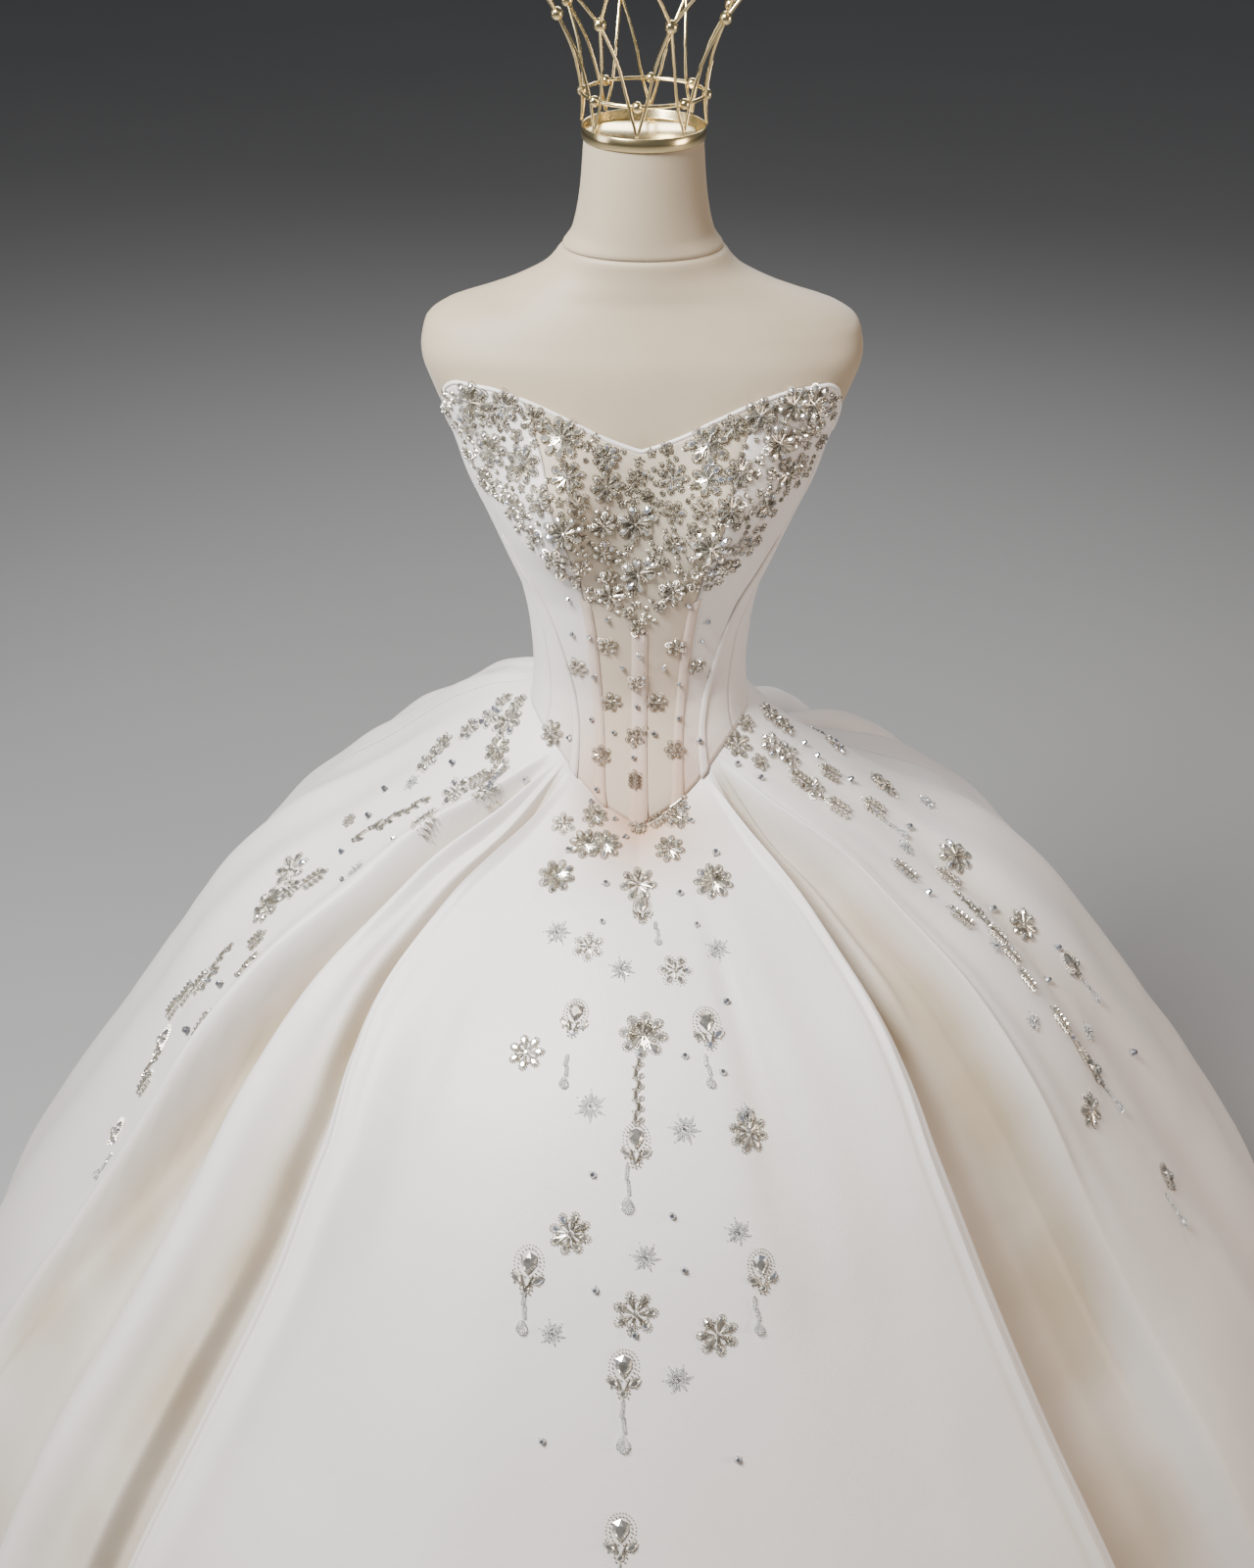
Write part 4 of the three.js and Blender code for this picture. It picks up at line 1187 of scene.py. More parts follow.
body_heights = np.concatenate([[FORM_BOTTOM_Z], np.linspace(FORM_BOTTOM_Z, NECK_SEAM_Z - 0.6, 150)])
UNDER_BODICE = 5
UNDER_BODICE_TO = (1285, 1335)
NECK_TUCK = 1.2
tucks = -UNDER_BODICE * (1 - smooth(*UNDER_BODICE_TO, body_heights))
tucks[0] = -UNDER_BODICE - 4
tucks = tucks - NECK_TUCK * smooth(NECK_SEAM_Z - 4, NECK_SEAM_Z, body_heights)
form_piece("form_body", body_heights, tucks)
neck_heights = np.linspace(NECK_SEAM_Z, NECK_TOP_Z, 60)
neck_outs = -1.0 * (1 - smooth(NECK_SEAM_Z, NECK_SEAM_Z + 3, neck_heights))
form_piece("form_neck", neck_heights, neck_outs)

# Neck band, crown and stand

band_low = NECK_TOP_Z + SEAM_GAP
band_top = band_low + BAND_HEIGHT
band_inside = BAND_RADIUS - BAND_WALL
EDGE = 0.5
band_outline = [
    (0, band_low + PLATE),
    (band_inside - EDGE, band_low + PLATE),
    (band_inside, band_low + PLATE + EDGE),
    (band_inside, band_top - EDGE),
    (band_inside + EDGE, band_top),
    (BAND_RADIUS - EDGE, band_top),
    (BAND_RADIUS, band_top - EDGE),
    (BAND_RADIUS, band_low + EDGE),
    (BAND_RADIUS - EDGE, band_low),
    (0, band_low),
]
band = joined_mesh("neck_band_polished", [turned(band_outline, 96)])
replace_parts(dress(band, "gold_metal", GOLD), "neck_band")

# The crown's places: height, radius, radius of the bead there, and how far round towards the next V it leans.
CROWN = {
    "foot": (band_top + 1.4, 52.5, 0, 0),
    "ring": (1591, 51, 4.4, 0),
    "passing": (1591, 51.6, 0, 0.34),
    "swelling": (1624, 58.5, 0, 0.68),
    "waist": (1655, 73, 5.2, 1),
    "arching": (1682, 91, 0, 0.5),
    "point": (1712, 116, 5.2, 0),
}
CROWN_TURN = -6
THINNER = 0.92


def crown_place(row, turn, out=0):
    z, r = CROWN[row][:2]
    a = np.radians(turn)
    return [(r + out) * np.sin(a), -(r + out) * np.cos(a), z]


def crown_pieces():
    """A ring of wire with beads, a V of wire from each foot on the band, and beaded points."""
    spacing = 360 / CROWN_POINTS
    round_turns = np.linspace(0, 360, 120, endpoint=False)
    ring_path = np.array([crown_place("ring", t) for t in round_turns])
    pieces = [tube(ring_path, WIRE / 2, 10, closed=True)]
    for i in range(CROWN_POINTS):
        turn = CROWN_TURN + i * spacing
        pieces.append(ball(crown_place("ring", turn, 1), CROWN["ring"][2]))
        pieces.append(ball(crown_place("waist", turn + spacing / 2), CROWN["waist"][2]))
        pieces.append(ball(crown_place("point", turn), CROWN["point"][2]))
        for hand in (-1, 1):
            for run in (("foot", "passing", "swelling", "waist"), ("waist", "arching", "point")):
                path = [crown_place(row, turn + hand * CROWN[row][3] * spacing / 2) for row in run]
                pieces.append(tube(spline(path, 24), WIRE / 2 * THINNER, 10))
    return pieces


crown = joined_mesh("crown_wires", crown_pieces())
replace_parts(dress(crown, "gold_metal", GOLD), "crown")

base_outline = [
    (0, BASE_HEIGHT),
    (POLE_RADIUS + 14, BASE_HEIGHT),
    (BASE_RADIUS - 5, BASE_HEIGHT - 0.5),
    (BASE_RADIUS - 1, BASE_HEIGHT - 3),
    (BASE_RADIUS, BASE_HEIGHT - 6),
    (BASE_RADIUS, 2),
    (BASE_RADIUS - 2, 0),
    (0, 0),
]
base = joined_mesh("stand_base_disc", [turned(base_outline, 96)])
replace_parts(dress(base, "stand_metal", STEEL), "stand_base")
pole_low, pole_high = BASE_HEIGHT + 0.3, FORM_BOTTOM_Z - 0.3
pole_outline = [
    (0, pole_high),
    (POLE_RADIUS - 1, pole_high),
    (POLE_RADIUS, pole_high - 1),
    (POLE_RADIUS, pole_low + 34),
    (POLE_RADIUS + 8, pole_low + 30),
    (POLE_RADIUS + 9, pole_low + 6),
    (POLE_RADIUS + 12, pole_low),
    (0, pole_low),
]
pole = joined_mesh("stand_pole_tube", [turned(pole_outline, 48)])
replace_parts(dress(pole, "stand_metal", STEEL), "stand_pole")

# Beading


def stone(outline):
    """A cut stone of unit length, width and height: a point below, its widest line at a third and a small table
    on top. outline gives the edge of the stone, with its point at +X."""
    i = np.arange(8)
    after = (i + 1) % 8
    around = i * TURN / 8
    girdle, table = outline(around), 0.55 * outline(around + TURN / 16)
    low, high = [[0, 0, 0]], [[0, 0, 1]]
    points = np.concatenate([low, np.c_[girdle, np.full(8, 0.35)], np.c_[table, np.ones(8)], high])
    under = np.stack([0 * i, after + 1, i + 1], -1)
    rising = np.stack([i + 1, after + 1, i + 9], -1)
    falling = np.stack([after + 1, after + 9, i + 9], -1)
    top = np.stack([i + 9, after + 9, 0 * i + 17], -1)
    return points, np.concatenate([under, rising, falling, top])


def round_edge(t):
    return 0.5 * np.stack([np.cos(t), np.sin(t)], -1)


def pear_edge(t):
    return 0.5 * np.stack([np.cos(t), np.sin(t) * np.sin(t / 2) / 0.77], -1)


def leaf_edge(t):
    return 0.5 * np.stack([np.cos(t), np.sin(t) * np.abs(np.sin(t)) ** 0.5], -1)


def spun(stations, sides):
    """A bead of unit length, width and height that lies along X, from places (x, radius) on its axis."""
    a = np.arange(sides) * TURN / sides
    x, r = np.array(stations, float).T[..., None]
    rings = np.stack(np.broadcast_arrays(x, r * np.cos(a), 0.5 + r * np.sin(a)), -1)
    row = np.arange(len(x) - 1)[:, None] * sides
    i, after = row + np.arange(sides), row + (np.arange(sides) + 1) % sides
    near = np.stack([i, after, i + sides], -1).reshape(-1, 3)
    far = np.stack([after, after + sides, i + sides], -1).reshape(-1, 3)
    points, place = np.unique(np.round(rings.reshape(-1, 3), 9), axis=0, return_inverse=True)
    faces = np.ravel(place)[np.concatenate([near, far])]
    whole = (faces[:, 0] != faces[:, 1]) & (faces[:, 1] != faces[:, 2]) & (faces[:, 0] != faces[:, 2])
    return points, faces[whole]


BEADS = {
    "round": stone(round_edge),
    "pear": stone(pear_edge),
    "leaf": stone(leaf_edge),
    "grey": stone(round_edge),
    "tube": spun(((-0.5, 0), (-0.5, 0.5), (0.5, 0.5), (0.5, 0)), 5),
    "seed": spun(((-0.5, 0), (0, 0.5), (0.5, 0)), 4),
    "clear": spun(((-0.5, 0), (-0.5, 0.5), (0.5, 0.5), (0.5, 0)), 5),
    "drop": spun(((-0.5, 0), (-0.42, 0.3), (-0.22, 0.5), (0.04, 0.42), (0.3, 0.2), (0.5, 0)), 6),
}


def beads(kind, x, y, direction, length, width, height, lift=0.0):
    """Rows of beads of one kind: their place in the motif in millimetres, direction in degrees and size."""
    columns = np.broadcast_arrays(x, y, direction, length, width, height, lift)
    return kind, np.stack([np.ravel(column) for column in columns], -1).astype(float)


def rayed(kind, angle, out, side, direction, length, width, height, lift=0.0):
    """Beads placed by rays from the motif's middle: how far out on the ray, and how far to the side of it."""
    a = np.radians(angle)
    x, y = out * np.cos(a) - side * np.sin(a), out * np.sin(a) + side * np.cos(a)
    return beads(kind, x, y, angle + direction, length, width, height, lift)


SEED = 2.3
SMALL_SEED = 1.6
TUBE = 2.0


def petal_turns(petals, start):
    return start + 360 / petals * np.arange(petals)


def halo(angle, out, long, wide, count, opening=0.0, size=SEED):
    """Seed beads on an oval round a stone, left open at the end towards the motif's middle."""
    t = np.radians(np.linspace(-180 + opening, 180 - opening, count))[None]
    angle = np.atleast_1d(np.asarray(angle, float))[:, None]
    return rayed("seed", angle, out + long * np.cos(t), wide * np.sin(t), 0, size, size, size * 1.3)


def bloom(size, petals=8, start=90.0):
    """A large flower: tubes spread from its middle into petals, each with a pear stone edged with seeds."""
    a = petal_turns(petals, start)
    tight = 8 / petals
    return [
        rayed("tube", a, 0.3 * size, 0, 0, 0.42 * size, TUBE, TUBE, 0.6),
        rayed("tube", a - 9 * tight, 0.42 * size, 0, -7, 0.56 * size, TUBE * 0.9, TUBE, 0),
        rayed("tube", a + 9 * tight, 0.42 * size, 0, 7, 0.56 * size, TUBE * 0.9, TUBE, 0),
        rayed("pear", a, 0.7 * size, 0, 180, 0.54 * size, 0.36 * size * tight**0.5, 3.6, 0.5),
        halo(a, 0.72 * size, 0.31 * size, 0.235 * size * tight**0.5, 13, 30, 1.9),
        rayed("tube", a + 180 / petals, 0.42 * size, 0, 0, 0.3 * size, TUBE * 0.8, TUBE * 0.8, 0),
        beads("round", 0, 0, 0, 0.2 * size, 0.2 * size, 2.2, 1.6),
    ]


def daisy(size, petals=8, start=90.0):
    """A flower of paired tubes with a round stone at the end of each pair."""
    a = petal_turns(petals, start)
    return [
        rayed("tube", a - 7, 0.5 * size, 0, -4, 0.62 * size, TUBE, TUBE, 0.3),
        rayed("tube", a + 7, 0.5 * size, 0, 4, 0.62 * size, TUBE, TUBE, 0.3),
        rayed("pear", a, 0.7 * size, 0, 180, 0.5 * size, 0.32 * size, 3.0, 0.4),
        rayed("seed", a + 180 / petals, 0.62 * size, 0, 0, SEED, SEED, SEED),
        halo(a, 0.74 * size, 0.29 * size, 0.22 * size, 10, 40, 1.9),
        beads("round", 0, 0, 0, 0.24 * size, 0.24 * size, 2.2, 1.3),
    ]


def cluster(size, petals=6, start=90.0):
    """A small full flower: pear stones, each edged with seeds, about a round stone."""
    a = petal_turns(petals, start)
    wide = 6 / petals
    return [
        rayed("pear", a, 0.62 * size, 0, 180, 0.5 * size, 0.36 * size * wide, 3.4, 0.4),
        halo(a, 0.66 * size, 0.32 * size, 0.28 * size * wide, 9, 40, SMALL_SEED),
        rayed("tube", a + 180 / petals, 0.36 * size, 0, 0, 0.3 * size, SMALL_SEED, SMALL_SEED, 0.6),
        beads("round", 0, 0, 0, 0.26 * size, 0.26 * size, 3.0, 1.8),
        rayed("seed", a + 180 / petals, 0.18 * size, 0, 0, SMALL_SEED, SMALL_SEED, 3.0),
    ]


def spray(size, pairs=4):
    """A leafy motif: pairs of leaf stones edged with seeds along a spine of tubes, with a pear stone above."""
    place = np.linspace(-0.66, 0.34, pairs)[:, None] * size
    side = np.array([[-1, 1]])
    lean = 90 - 58 * side
    out = 0.36 * size
    x, y = out * side, place + 0.12 * size + 0 * side
    c, s = np.cos(np.radians(lean)), np.sin(np.radians(lean))
    edges = []
    for t in np.radians(np.linspace(-150, 150, 6)):
        along, over = 0.24 * size * np.cos(t), 0.13 * size * np.sin(t)
        seed_x, seed_y = x + along * c - over * s, y + along * s + over * c
        edges.append(beads("seed", seed_x, seed_y, 0, SMALL_SEED, SMALL_SEED, 3.4))
    return [
        *edges,
        beads("leaf", x, y, lean, 0.4 * size, 0.19 * size, 4.4, 0.5),
        beads("tube", 0, place, 90, 0.3 * size, TUBE, TUBE, 2.4),
        beads("pear", 0, 0.7 * size, -90, 0.42 * size, 0.3 * size, 4.6, 0.6),
        halo([90.0], 0.7 * size, 0.3 * size, 0.24 * size, 10, 30, SMALL_SEED),
    ]


def lily(size):
    """An upright pear stone in a border of seeds over two leaf stones, with a round stone below."""
    side = np.array([-1, 1])
    return [
        beads("pear", 0, 0.42 * size, -90, 0.96 * size, 0.74 * size, 4.0, 0.4),
        halo([90.0], 0.44 * size, 0.58 * size, 0.46 * size, 20, 12, 2.1),
        halo([90.0], 0.44 * size, 0.72 * size, 0.62 * size, 24, 40, SMALL_SEED),
        beads("leaf", 0.44 * size * side, -0.22 * size, 90 - 62 * side, 0.64 * size, 0.36 * size, 3.6, 0.3),
        beads("seed", 0.62 * size * side, 0.04 * size, 0, SEED, SEED, SEED),
        beads("seed", 0.5 * size * side, -0.44 * size, 0, SEED, SEED, SEED),
        beads("seed", 0.24 * size * side, -0.5 * size, 0, SEED, SEED, SEED),
        beads("tube", 0.16 * size * side, -0.3 * size, 90 - 20 * side, 0.5 * size, TUBE, TUBE, 0.9),
        beads("round", 0, -0.64 * size, 0, 0.34 * size, 0.34 * size, 2.8, 0.3),
        halo([-90.0], 0.64 * size, 0.24 * size, 0.24 * size, 7, 40),
    ]


def star(size, petals=6, start=90.0):
    """Clear drops and tubes round one small grey bead."""
    a = petal_turns(petals, start)
    return [
        rayed("drop", a, 0.6 * size, 0, 0, 0.74 * size, 0.26 * size, 3.4, 0.1),
        rayed("clear", a + 180 / petals, 0.5 * size, 0, 0, 0.5 * size, 1.9, 1.9, 0.1),
        rayed("seed", a, 1.02 * size, 0, 0, 1.6, 1.6, 1.6),
        beads("grey", 0, 0, 0, 3.6, 3.6, 3.2, 0.4),
        rayed("seed", a, 0.24 * size, 0, 0, 1.5, 1.5, 2.2),
    ]


def single(size, start):
    """One grey stone held by a seed bead."""
    return [
        beads("grey", 0, 0, start, size * 0.9, size * 0.9, 0.62 * size, 0.1),
        rayed("seed", start, 0.46 * size, 0, 0, 1.5, 1.5, 1.5, 0.2),
        rayed("seed", start + 160, 0.5 * size, 0, 0, 1.5, 1.5, 1.5),
    ]


def strand(size, links):
    """A short hanging line: a tube, a round stone, a leaf stone and a seed, over and over."""
    place = np.linspace(0.5, -0.5, links) * size
    gap = size / (links - 1)
    zigzag = 1.4 * (-1.0) ** np.arange(links)
    return [
        beads("tube", zigzag, place, 84, 0.66 * gap, TUBE * 1.6, TUBE * 1.6, 0.1),
        beads("round", 0, place - 0.5 * gap, 0, 6.0, 5.6, 3.6, 0.1),
        beads("leaf", 4.4, place - 0.2 * gap, 58, 0.66 * gap, 4.8, 3.2, 0.1),
        beads("seed", -3.4, place - 0.42 * gap, 0, SEED, SEED, SEED),
    ]


def pendant(size):
    """Clear tubes end to end, with a clear drop at the bottom."""
    return [
        beads("clear", [-0.8, 1.0], [0.34 * size, 0.02 * size], [86, 97], 0.34 * size, 3.2, 3.0, 0.2),
        beads("drop", 0.4, -0.36 * size, 93, 0.42 * size, 0.3 * size, 6.0, 0.1),
        beads("seed", [0, 0.2], [0.54 * size, 0.19 * size], 0, 2.2, 2.2, 2.2),
    ]


class Sewing:
    """Beads sewn to one surface, ground(a, b), whose a runs to the wearer's left and b runs down."""

    def __init__(self, ground, step, raised=None):
        self.ground, self.step, self.raised = ground, step, raised
        self.rows = {}

    def frame(self, a, b):
        """Place, slopes and normal of the surface, from its neighbours a step away."""
        da, db = self.step
        up = np.maximum(b - db, 0)
        across = (self.ground(a + da, b) - self.ground(a - da, b)) / (2 * da)
        along = (self.ground(a, b + db) - self.ground(a, up)) / (b + db - up)[:, None]
        return self.ground(a, b), across, along, unit(np.cross(along, across))

    def sew(self, a, b, turn, motif):
        for kind, rows in motif:
            place = np.tile([[a, b, turn]], (len(rows), 1))
            self.rows.setdefault(kind, []).append(np.hstack([place, rows]))

    def points(self, kind):
        """Every bead of a kind. A bead's step from its motif's middle is turned into steps of a and b by the
        surface's slopes there, and the bead then stands square on the surface at its own place."""
        a, b, turn, x, y, direction, length, width, height, lift = np.concatenate(self.rows[kind]).T
        shape, faces = BEADS[kind]
        _, across, along, normal = self.frame(a, b)
        upward = -unit(along)
        left = np.cross(upward, normal)
        c, s = np.cos(np.radians(turn)), np.sin(np.radians(turn))
        step = (x * c - y * s)[:, None] * left + (x * s + y * c)[:, None] * upward
        aa, bb, ab = (np.sum(p * q, -1) for p, q in ((across, across), (along, along), (across, along)))
        sa, sb = np.sum(step * across, -1), np.sum(step * along, -1)
        det = aa * bb - ab * ab
        a, b = a + (bb * sa - ab * sb) / det, b + (aa * sb - ab * sa) / det
        place, _, along, normal = self.frame(a, b)
        upward = -unit(along)
        left = np.cross(upward, normal)
        t = np.radians(direction + turn)[:, None]
        forward, sideways = left * np.cos(t) + upward * np.sin(t), upward * np.cos(t) - left * np.sin(t)
        lift = lift if self.raised is None else lift + self.raised(a, b)
        points = (
            place[:, None]
            + (forward * length[:, None])[:, None] * shape[:, :1]
            + (sideways * width[:, None])[:, None] * shape[:, 1:2]
            + normal[:, None] * (lift[:, None] + height[:, None] * shape[:, 2])[..., None]
        )
        starts = len(shape) * np.arange(len(place))[:, None, None]
        return points.reshape(-1, 3), (faces[None] + starts).reshape(-1, 3)

    def finish(self, name, *kinds):
        """One mesh of every bead of these kinds, for pieces of one material."""
        found = [self.points(kind) for kind in kinds if kind in self.rows]
        return joined_mesh(name, found, smooth_faces=False) if found else None


def skirt_ground(knot, down):
    left = skirt_point("left", np.maximum(knot, 0), down)
    right = skirt_point("right", np.maximum(-knot, 0), down)
    return np.where((knot >= 0)[..., None], left, right)


def bodice_ground(turn, down):
    return bodice_point(turn, row_height(turn, down), CLOTH)


def over_channels(turn, down):
    """The beads' extra height over the channels."""
    z = row_height(turn, down)
    scale = np.hypot(*section_point(turn, z)) * np.radians(1)
    height = 0 * turn
    for line, start in ((centre_line, "centre"), (princess_line, "princess"), (side_line, "side")):
        off = np.abs(np.abs(turn) - line(z)) * scale
        height = np.maximum(height, (1 - smooth(3, 7, off)) * (down > CHANNEL_FROM[start]))
    return height * (CHANNEL_RISE + 0.6)


def listed(*runs):
    """The rows of a table of motifs, each with its motif before it."""
    return [(motif, *row) for motif, *rows in runs for row in rows]


# The bodice's flowers one by one: a motif, and for each one of it the turn from centre front to the wearer's
# left, the share of the way down and the radius. Their order sets how each is turned.
BODICE_MOTIFS = listed(
    (bloom, (-1, 0.18, 19), (-23.5, 0.275, 19), (23, 0.315, 20), (-0.5, 0.32, 19), (15.5, 0.045, 19),
     (-18.5, 0.045, 19), (28.5, 0.03, 16), (-47, 0.04, 18), (47.5, 0.04, 18)),
    (daisy, (-34, 0.03, 15), (-25.5, 0.035, 13), (-8, 0.04, 12), (7.5, 0.085, 14), (21, 0.03, 11)),
    (bloom, (39, 0.03, 16), (39, 0.12, 17)),
    (daisy, (47, 0.21, 14), (26.5, 0.145, 14)),
    (bloom, (17.5, 0.125, 15)),
    (daisy, (-8.5, 0.11, 15), (-19.5, 0.13, 15)),
    (bloom, (-33.5, 0.155, 17), (-46.5, 0.155, 17)),
    (daisy, (-55, 0.245, 13), (-29, 0.215, 14), (-40.5, 0.28, 14)),
    (cluster, (-17.5, 0.18, 12), (17, 0.19, 12), (8.5, 0.17, 12)),
    (daisy, (25.5, 0.22, 14), (40, 0.27, 13), (-10.5, 0.215, 13)),
    (cluster, (-35.5, 0.33, 12), (10, 0.26, 12), (35, 0.355, 12), (-12, 0.295, 12)),
    (daisy, (-30.5, 0.38, 13)),
    (cluster, (-21, 0.375, 11), (22, 0.39, 12)),
    (daisy, (32, 0.415, 14), (-11, 0.425, 15), (12, 0.415, 13)),
    (cluster, (-1, 0.06, 10), (47, 0.12, 13), (-40, 0.06, 13), (-54, 0.1, 13), (54, 0.1, 13), (54, 0.2, 12),
     (-0.5, 0.475, 11), (-14.5, 0.595, 10.5), (16, 0.605, 10.5), (-32, 0.745, 11), (28.5, 0.725, 10),
     (-1, 0.65, 10), (-13, 0.76, 10.5), (7.5, 0.735, 10.5), (-1.5, 0.8, 11), (-15.5, 0.905, 10.5),
     (14.5, 0.885, 10)),
    (spray, (-1.5, 0.9, 10)),
    (daisy, (-44, 0.985, 13)),
    (single, (-31, 0.525, 6), (-13.5, 0.51, 6), (20, 0.495, 6), (32, 0.6, 6), (-33, 0.645, 6),
     (-23, 0.605, 6), (30.5, 0.655, 5), (0, 0.56, 6), (-7.5, 0.63, 6), (10.5, 0.645, 6), (-22, 0.725, 6),
     (18.5, 0.73, 5), (-1, 0.72, 6), (-23, 0.855, 6), (18, 0.825, 6), (-11, 0.83, 6), (6, 0.81, 7),
     (-33, 0.95, 7), (27, 0.925, 7), (-2, 0.85, 6), (-14.5, 0.98, 6)),
)

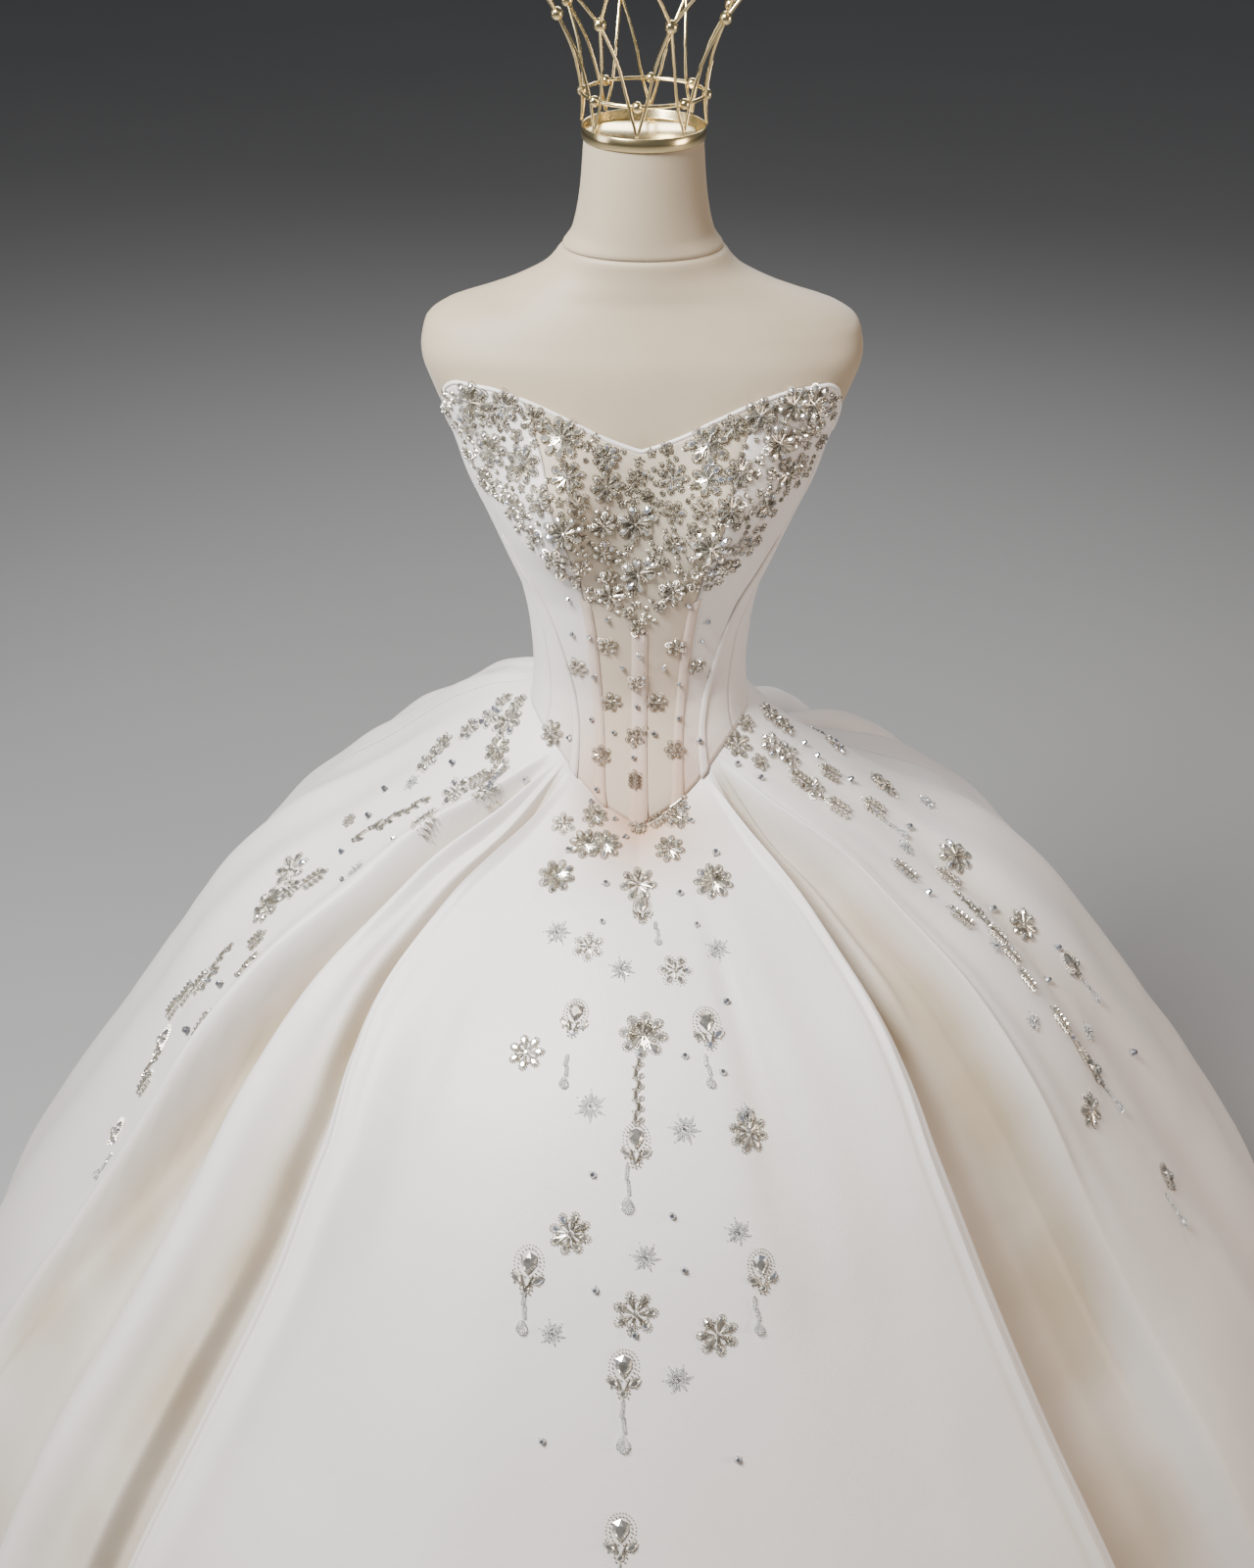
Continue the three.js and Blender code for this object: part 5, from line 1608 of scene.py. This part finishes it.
# The skirt's, by place round it (negative on the wearer's right), share of the way down, radius and, for some,
# how far they lean, in degrees.
SKIRT_MOTIFS = listed(
    (cluster, (-3.1, 0.046, 11)),
    (daisy, (-2, 0.022, 11)),
    (bloom, (-1.9, 0.052, 14), (-1.2, 0.046, 14)),
    (spray, (0, 0.012, 12, 84), (0.9, 0.012, 11, -70)),
    (cluster, (1.7, 0.018, 12)),
    (spray, (2.1, 0.003, 10, -75)),
    (lily, (1.9, 0.024, 11, -20)),
    (daisy, (1.1, 0.049, 13)),
    (single, (-2.5, 0.01, 6), (-1.1, 0.012, 5), (-0.5, 0.032, 6), (2.4, 0.016, 6), (2.3, 0.033, 6),
     (-2.4, 0.062, 7), (-0.9, 0.081, 7), (1.1, 0.091, 7), (-0.8, 0.116, 6), (1.3, 0.121, 6),
     (2.6, 0.066, 8)),
    (bloom, (-2.3, 0.086, 16)),
    (daisy, (0, 0.077, 17)),
    (bloom, (2.1, 0.088, 17)),
    (lily, (0.1, 0.104, 13)),
    (pendant, (0.4, 0.124, 20)),
    (cluster, (-1, 0.139, 14), (0.7, 0.157, 15)),
    (star, (-1.7, 0.132, 12), (1.6, 0.144, 11), (-0.3, 0.155, 11)),
    (lily, (-1, 0.197, 17)),
    (pendant, (-1, 0.231, 26)),
    (bloom, (0.1, 0.204, 20)),
    (lily, (1.1, 0.204, 19)),
    (pendant, (1, 0.23, 26)),
    (daisy, (-1.6, 0.223, 15)),
    (single, (1.5, 0.185, 7), (0.7, 0.219, 7), (1.2, 0.232, 7)),
    (strand, (0, 0.24, 46)),
    (lily, (0, 0.279, 18)),
    (pendant, (-0.1, 0.306, 36)),
    (star, (-0.6, 0.252, 13), (0.6, 0.267, 13)),
    (daisy, (1.4, 0.274, 17)),
    (star, (1.4, 0.262, 9)),
    (single, (-0.5, 0.298, 7), (0.4, 0.326, 7)),
    (daisy, (-0.7, 0.341, 17)),
    (star, (1.1, 0.342, 11), (0.1, 0.356, 12)),
    (lily, (-1.1, 0.376, 20)),
    (pendant, (-1.1, 0.407, 32)),
    (lily, (1.3, 0.378, 18)),
    (pendant, (1.2, 0.41, 28)),
    (single, (0.5, 0.367, 7), (-0.4, 0.383, 7)),
    (daisy, (0, 0.401, 18)),
    (single, (0, 0.418, 7)),
    (daisy, (0.8, 0.422, 17)),
    (star, (-0.8, 0.421, 11), (0.4, 0.454, 12)),
    (lily, (-0.1, 0.452, 20)),
    (pendant, (-0.1, 0.489, 38)),
    (lily, (-0.1, 0.574, 20)),
    (pendant, (-0.1, 0.606, 34)),
    (single, (0.9, 0.52, 7), (-0.8, 0.505, 7)),
    (cluster, (-23, 0.03, 9), (-22.3, 0.014, 9), (-22.2, 0.041, 13), (-22.1, 0.059, 12)),
    (daisy, (-21.3, 0.027, 14), (-20.2, 0.043, 12)),
    (cluster, (-21.5, 0.098, 14)),
    (daisy, (-22, 0.086, 12)),
    (spray, (-19.1, 0.05, 13, 25), (-19.3, 0.064, 13, 0)),
    (cluster, (-19.4, 0.083, 15), (-17.9, 0.064, 13)),
    (spray, (-18.2, 0.112, 15, 15)),
    (star, (-20.8, 0.115, 8)),
    (single, (-21.2, 0.141, 7)),
    (cluster, (-20.9, 0.177, 7)),
    (single, (-20.6, 0.158, 7), (-18.4, 0.139, 6)),
    (strand, (-19.8, 0.113, 22), (-19.9, 0.138, 22), (-20.1, 0.158, 20)),
    (star, (-18.8, 0.178, 9)),
    (single, (-20, 0.186, 6), (-18.8, 0.19, 6), (-20.7, 0.077, 7), (-17.3, 0.04, 7), (-18, 0.06, 6)),
    (daisy, (-20.5, 0.231, 17)),
    (spray, (-19.7, 0.212, 15)),
    (bloom, (-20, 0.256, 18)),
    (cluster, (-19.9, 0.232, 12)),
    (spray, (-19.3, 0.272, 12)),
    (strand, (-18.9, 0.285, 22), (-19.9, 0.314, 26), (-19.7, 0.332, 22)),
    (single, (-19.2, 0.319, 8)),
    (spray, (-19.9, 0.35, 15), (-20.1, 0.377, 15), (-20.2, 0.404, 14), (-18.7, 0.351, 15, 10)),
    (single, (-19.2, 0.375, 9)),
    (lily, (-19.9, 0.432, 16)),
    (strand, (-18.6, 0.375, 26)),
    (cluster, (-18.7, 0.4, 7)),
    (spray, (-19.6, 0.466, 15)),
    (strand, (-19.8, 0.45, 20)),
    (lily, (-19.5, 0.524, 14)),
    (pendant, (-19.2, 0.545, 26)),
    (cluster, (20.1, 0.006, 9), (22.1, 0.028, 13), (22, 0.042, 11)),
    (daisy, (18.4, 0.01, 12)),
    (cluster, (20.1, 0.036, 13), (20.3, 0.05, 13), (18.5, 0.035, 8)),
    (daisy, (25.3, 0.106, 14)),
    (cluster, (22.8, 0.094, 12)),
    (spray, (19.4, 0.065, 13)),
    (cluster, (19.5, 0.077, 12)),
    (spray, (20.8, 0.084, 13)),
    (daisy, (22, 0.14, 15)),
    (spray, (19.3, 0.1, 14), (20.5, 0.127, 14)),
    (single, (21.6, 0.059, 6), (21.3, 0.071, 6), (21, 0.102, 7), (17.1, 0.021, 6), (17.5, 0.042, 6)),
    (star, (22.4, 0.188, 10)),
    (pendant, (20.3, 0.148, 24)),
    (single, (20.7, 0.161, 7)),
    (bloom, (20.7, 0.203, 16)),
    (star, (19.9, 0.163, 8)),
    (spray, (18.6, 0.167, 15)),
    (single, (18.4, 0.19, 7)),
    (spray, (20, 0.203, 15)),
    (strand, (19.4, 0.22, 24), (19.2, 0.235, 24)),
    (spray, (19.1, 0.252, 13), (18.9, 0.269, 13), (18.6, 0.29, 13), (18.5, 0.219, 15)),
    (star, (18.6, 0.253, 8)),
    (single, (20.1, 0.245, 8)),
    (daisy, (20.3, 0.277, 15)),
    (single, (20.5, 0.318, 7), (19.6, 0.317, 7)),
    (lily, (20.5, 0.343, 15)),
    (pendant, (20.5, 0.376, 26)),
    (star, (17.8, 0.31, 8)),
    (spray, (18.7, 0.337, 15)),
    (strand, (18.7, 0.358, 20)),
    (spray, (18.7, 0.376, 10)),
    (star, (19.6, 0.384, 9)),
    (lily, (18.9, 0.408, 16)),
    (pendant, (18.9, 0.438, 32)),
    (single, (20.5, 0.464, 8)),
    (daisy, (17.9, 0.411, 15)),
    (lily, (19.1, 0.549, 14)),
    (pendant, (18.7, 0.565, 34)),
)

FILL_SEED = 11
FILL_TRIES = 4200
FILL_TURN = 68
FILL_DOWN = (0.004, 0.48)
FILL_SIZES = (2.4, 4.6, 6.4, 8.5)
FILL_SHARES = (0.2, 0.3, 0.28, 0.22)
SMALLEST_CLUSTER = 5
GOLDEN = 137.5


def bodice_seeding(sewing, motifs):
    """Small beads between the bodice's flowers: seeded places, kept where no motif or earlier bead is too near.
    Distances are measured on the bodice's front, in millimetres."""
    dice = np.random.default_rng(FILL_SEED)
    turn = dice.uniform(-FILL_TURN, FILL_TURN, FILL_TRIES)
    down = dice.uniform(*FILL_DOWN, FILL_TRIES)
    off = np.abs(turn)
    edge = 0.475 - 0.23 * smooth(28, 60, off) - 0.1 * smooth(60, 68, off) + 0.015 * np.sin(turn * 0.5)
    turn, down = turn[down < edge], down[down < edge]
    tries = bodice_ground(turn, down)
    radius = dice.choice(FILL_SIZES, len(turn), p=FILL_SHARES)
    spots = bodice_ground(*np.array([row[1:3] for row in motifs], float).T)
    sizes = np.array([size * (0.6 if motif is single else 0.92) for motif, _, _, size in motifs])
    for i, (spot, size) in enumerate(zip(tries, radius)):
        if np.all(np.linalg.norm(spots - spot, axis=1) > sizes + size):
            spots, sizes = np.vstack([spots, spot]), np.append(sizes, size)
            angle = dice.uniform(0, 360)
            motif = cluster(size, 5, angle) if size > SMALLEST_CLUSTER else star_seed(size, angle)
            sewing.sew(turn[i], down[i], 0, motif)


def star_seed(size, start):
    """A tiny flower: five seeds and short tubes round one stone."""
    a = petal_turns(5, start)
    return [
        beads("round", 0, 0, start, 0.7 * size, 0.7 * size, 2.2, 0.2),
        rayed("seed", a, 0.62 * size, 0, 0, SEED, SEED, SEED),
        rayed("tube", a + 36, 0.8 * size, 0, 0, 0.5 * size, TUBE * 0.8, TUBE * 0.8),
    ]


SKIRT_SCALE = 1.08
SIDE_SCALE = 1.24
SIDE_FROM = 10
LINK = 9


def sewn(sewing, motifs, scale=1, side_scale=1):
    """Sews a table's motifs, each flower turned a golden angle from the last. Large ones have 7 to 9 petals, and
    those on the skirt's sides, where the cloth turns away, have a scale of their own."""
    for i, (motif, a, b, size, *lean) in enumerate(motifs):
        size *= side_scale if abs(a) > SIDE_FROM and motif is not strand else scale
        start = (i * GOLDEN) % 360
        if motif in (bloom, daisy):
            made = motif(size, 7 + i % 3 // 2 + i % 2, start)
        elif motif in (cluster, star, single):
            made = motif(size, start=start)
        elif motif is strand:
            made = motif(size, max(2, round(size / LINK)))
        else:
            made = motif(size)
        sewing.sew(a, b, lean[0] if lean else 0, made)


def glass_finish(name, tint, tone, tarnish, rough):
    """Foil-backed glass: metallic facets of slightly different colour from bead to bead."""
    finish = Finish(name)
    place = finish.place()
    patches = finish.noise(place, 150, 1)
    colour = finish.colour(finish.ramp(patches, 0.42, 0.7), rgb(*tint), rgb(*tone))
    colour = finish.colour(finish.ramp(finish.noise(place, 55, 1), 0.6, 0.68) * 0.6, colour, rgb(*tarnish))
    return finish.done(
        {
            "Base Color": colour,
            "Metallic": 0.9,
            "Roughness": rough + 0.1 * patches,
            "Coat Weight": 0.4,
            "Coat Roughness": 0.02,
        }
    )


def clear_finish(name):
    """Clear glass with the faintest green."""
    finish = Finish(name)
    cloud = finish.noise(finish.place(), 120, 1)
    colour = finish.colour(cloud, rgb(0.97, 0.985, 0.98), rgb(0.93, 0.96, 0.965))
    return finish.done({"Base Color": colour, "Roughness": 0.03, "Transmission Weight": 0.85, "IOR": 1.5})


STONES = glass_finish("cut_stones", (0.84, 0.8, 0.72), (0.52, 0.48, 0.4), (0.62, 0.7, 0.9), 0.17)
SILVER = glass_finish("silver_glass", (0.66, 0.61, 0.51), (0.36, 0.32, 0.25), (0.9, 0.86, 0.76), 0.26)
GREY = glass_finish("grey_stones", (0.6, 0.61, 0.63), (0.4, 0.42, 0.45), (0.62, 0.68, 0.78), 0.08)
CLEAR = clear_finish("clear_glass")

on_bodice = Sewing(bodice_ground, (0.3, 0.003), over_channels)
sewn(on_bodice, BODICE_MOTIFS)
bodice_seeding(on_bodice, BODICE_MOTIFS)
on_skirt = Sewing(skirt_ground, (0.03, 0.002))
sewn(on_skirt, SKIRT_MOTIFS, SKIRT_SCALE, SIDE_SCALE)
for place, sewing in (("bodice", on_bodice), ("skirt", on_skirt)):
    for kinds, what, material in (
        (("round", "pear", "leaf"), "stones", STONES),
        (("tube", "seed"), "silver", SILVER),
        (("grey",), "grey_stones", GREY),
        (("clear", "drop"), "clear_glass", CLEAR),
    ):
        piece = sewing.finish(f"{place}_{what}", *kinds)
        if piece:
            dress(piece, "beaded_net", material)

look()
studio()
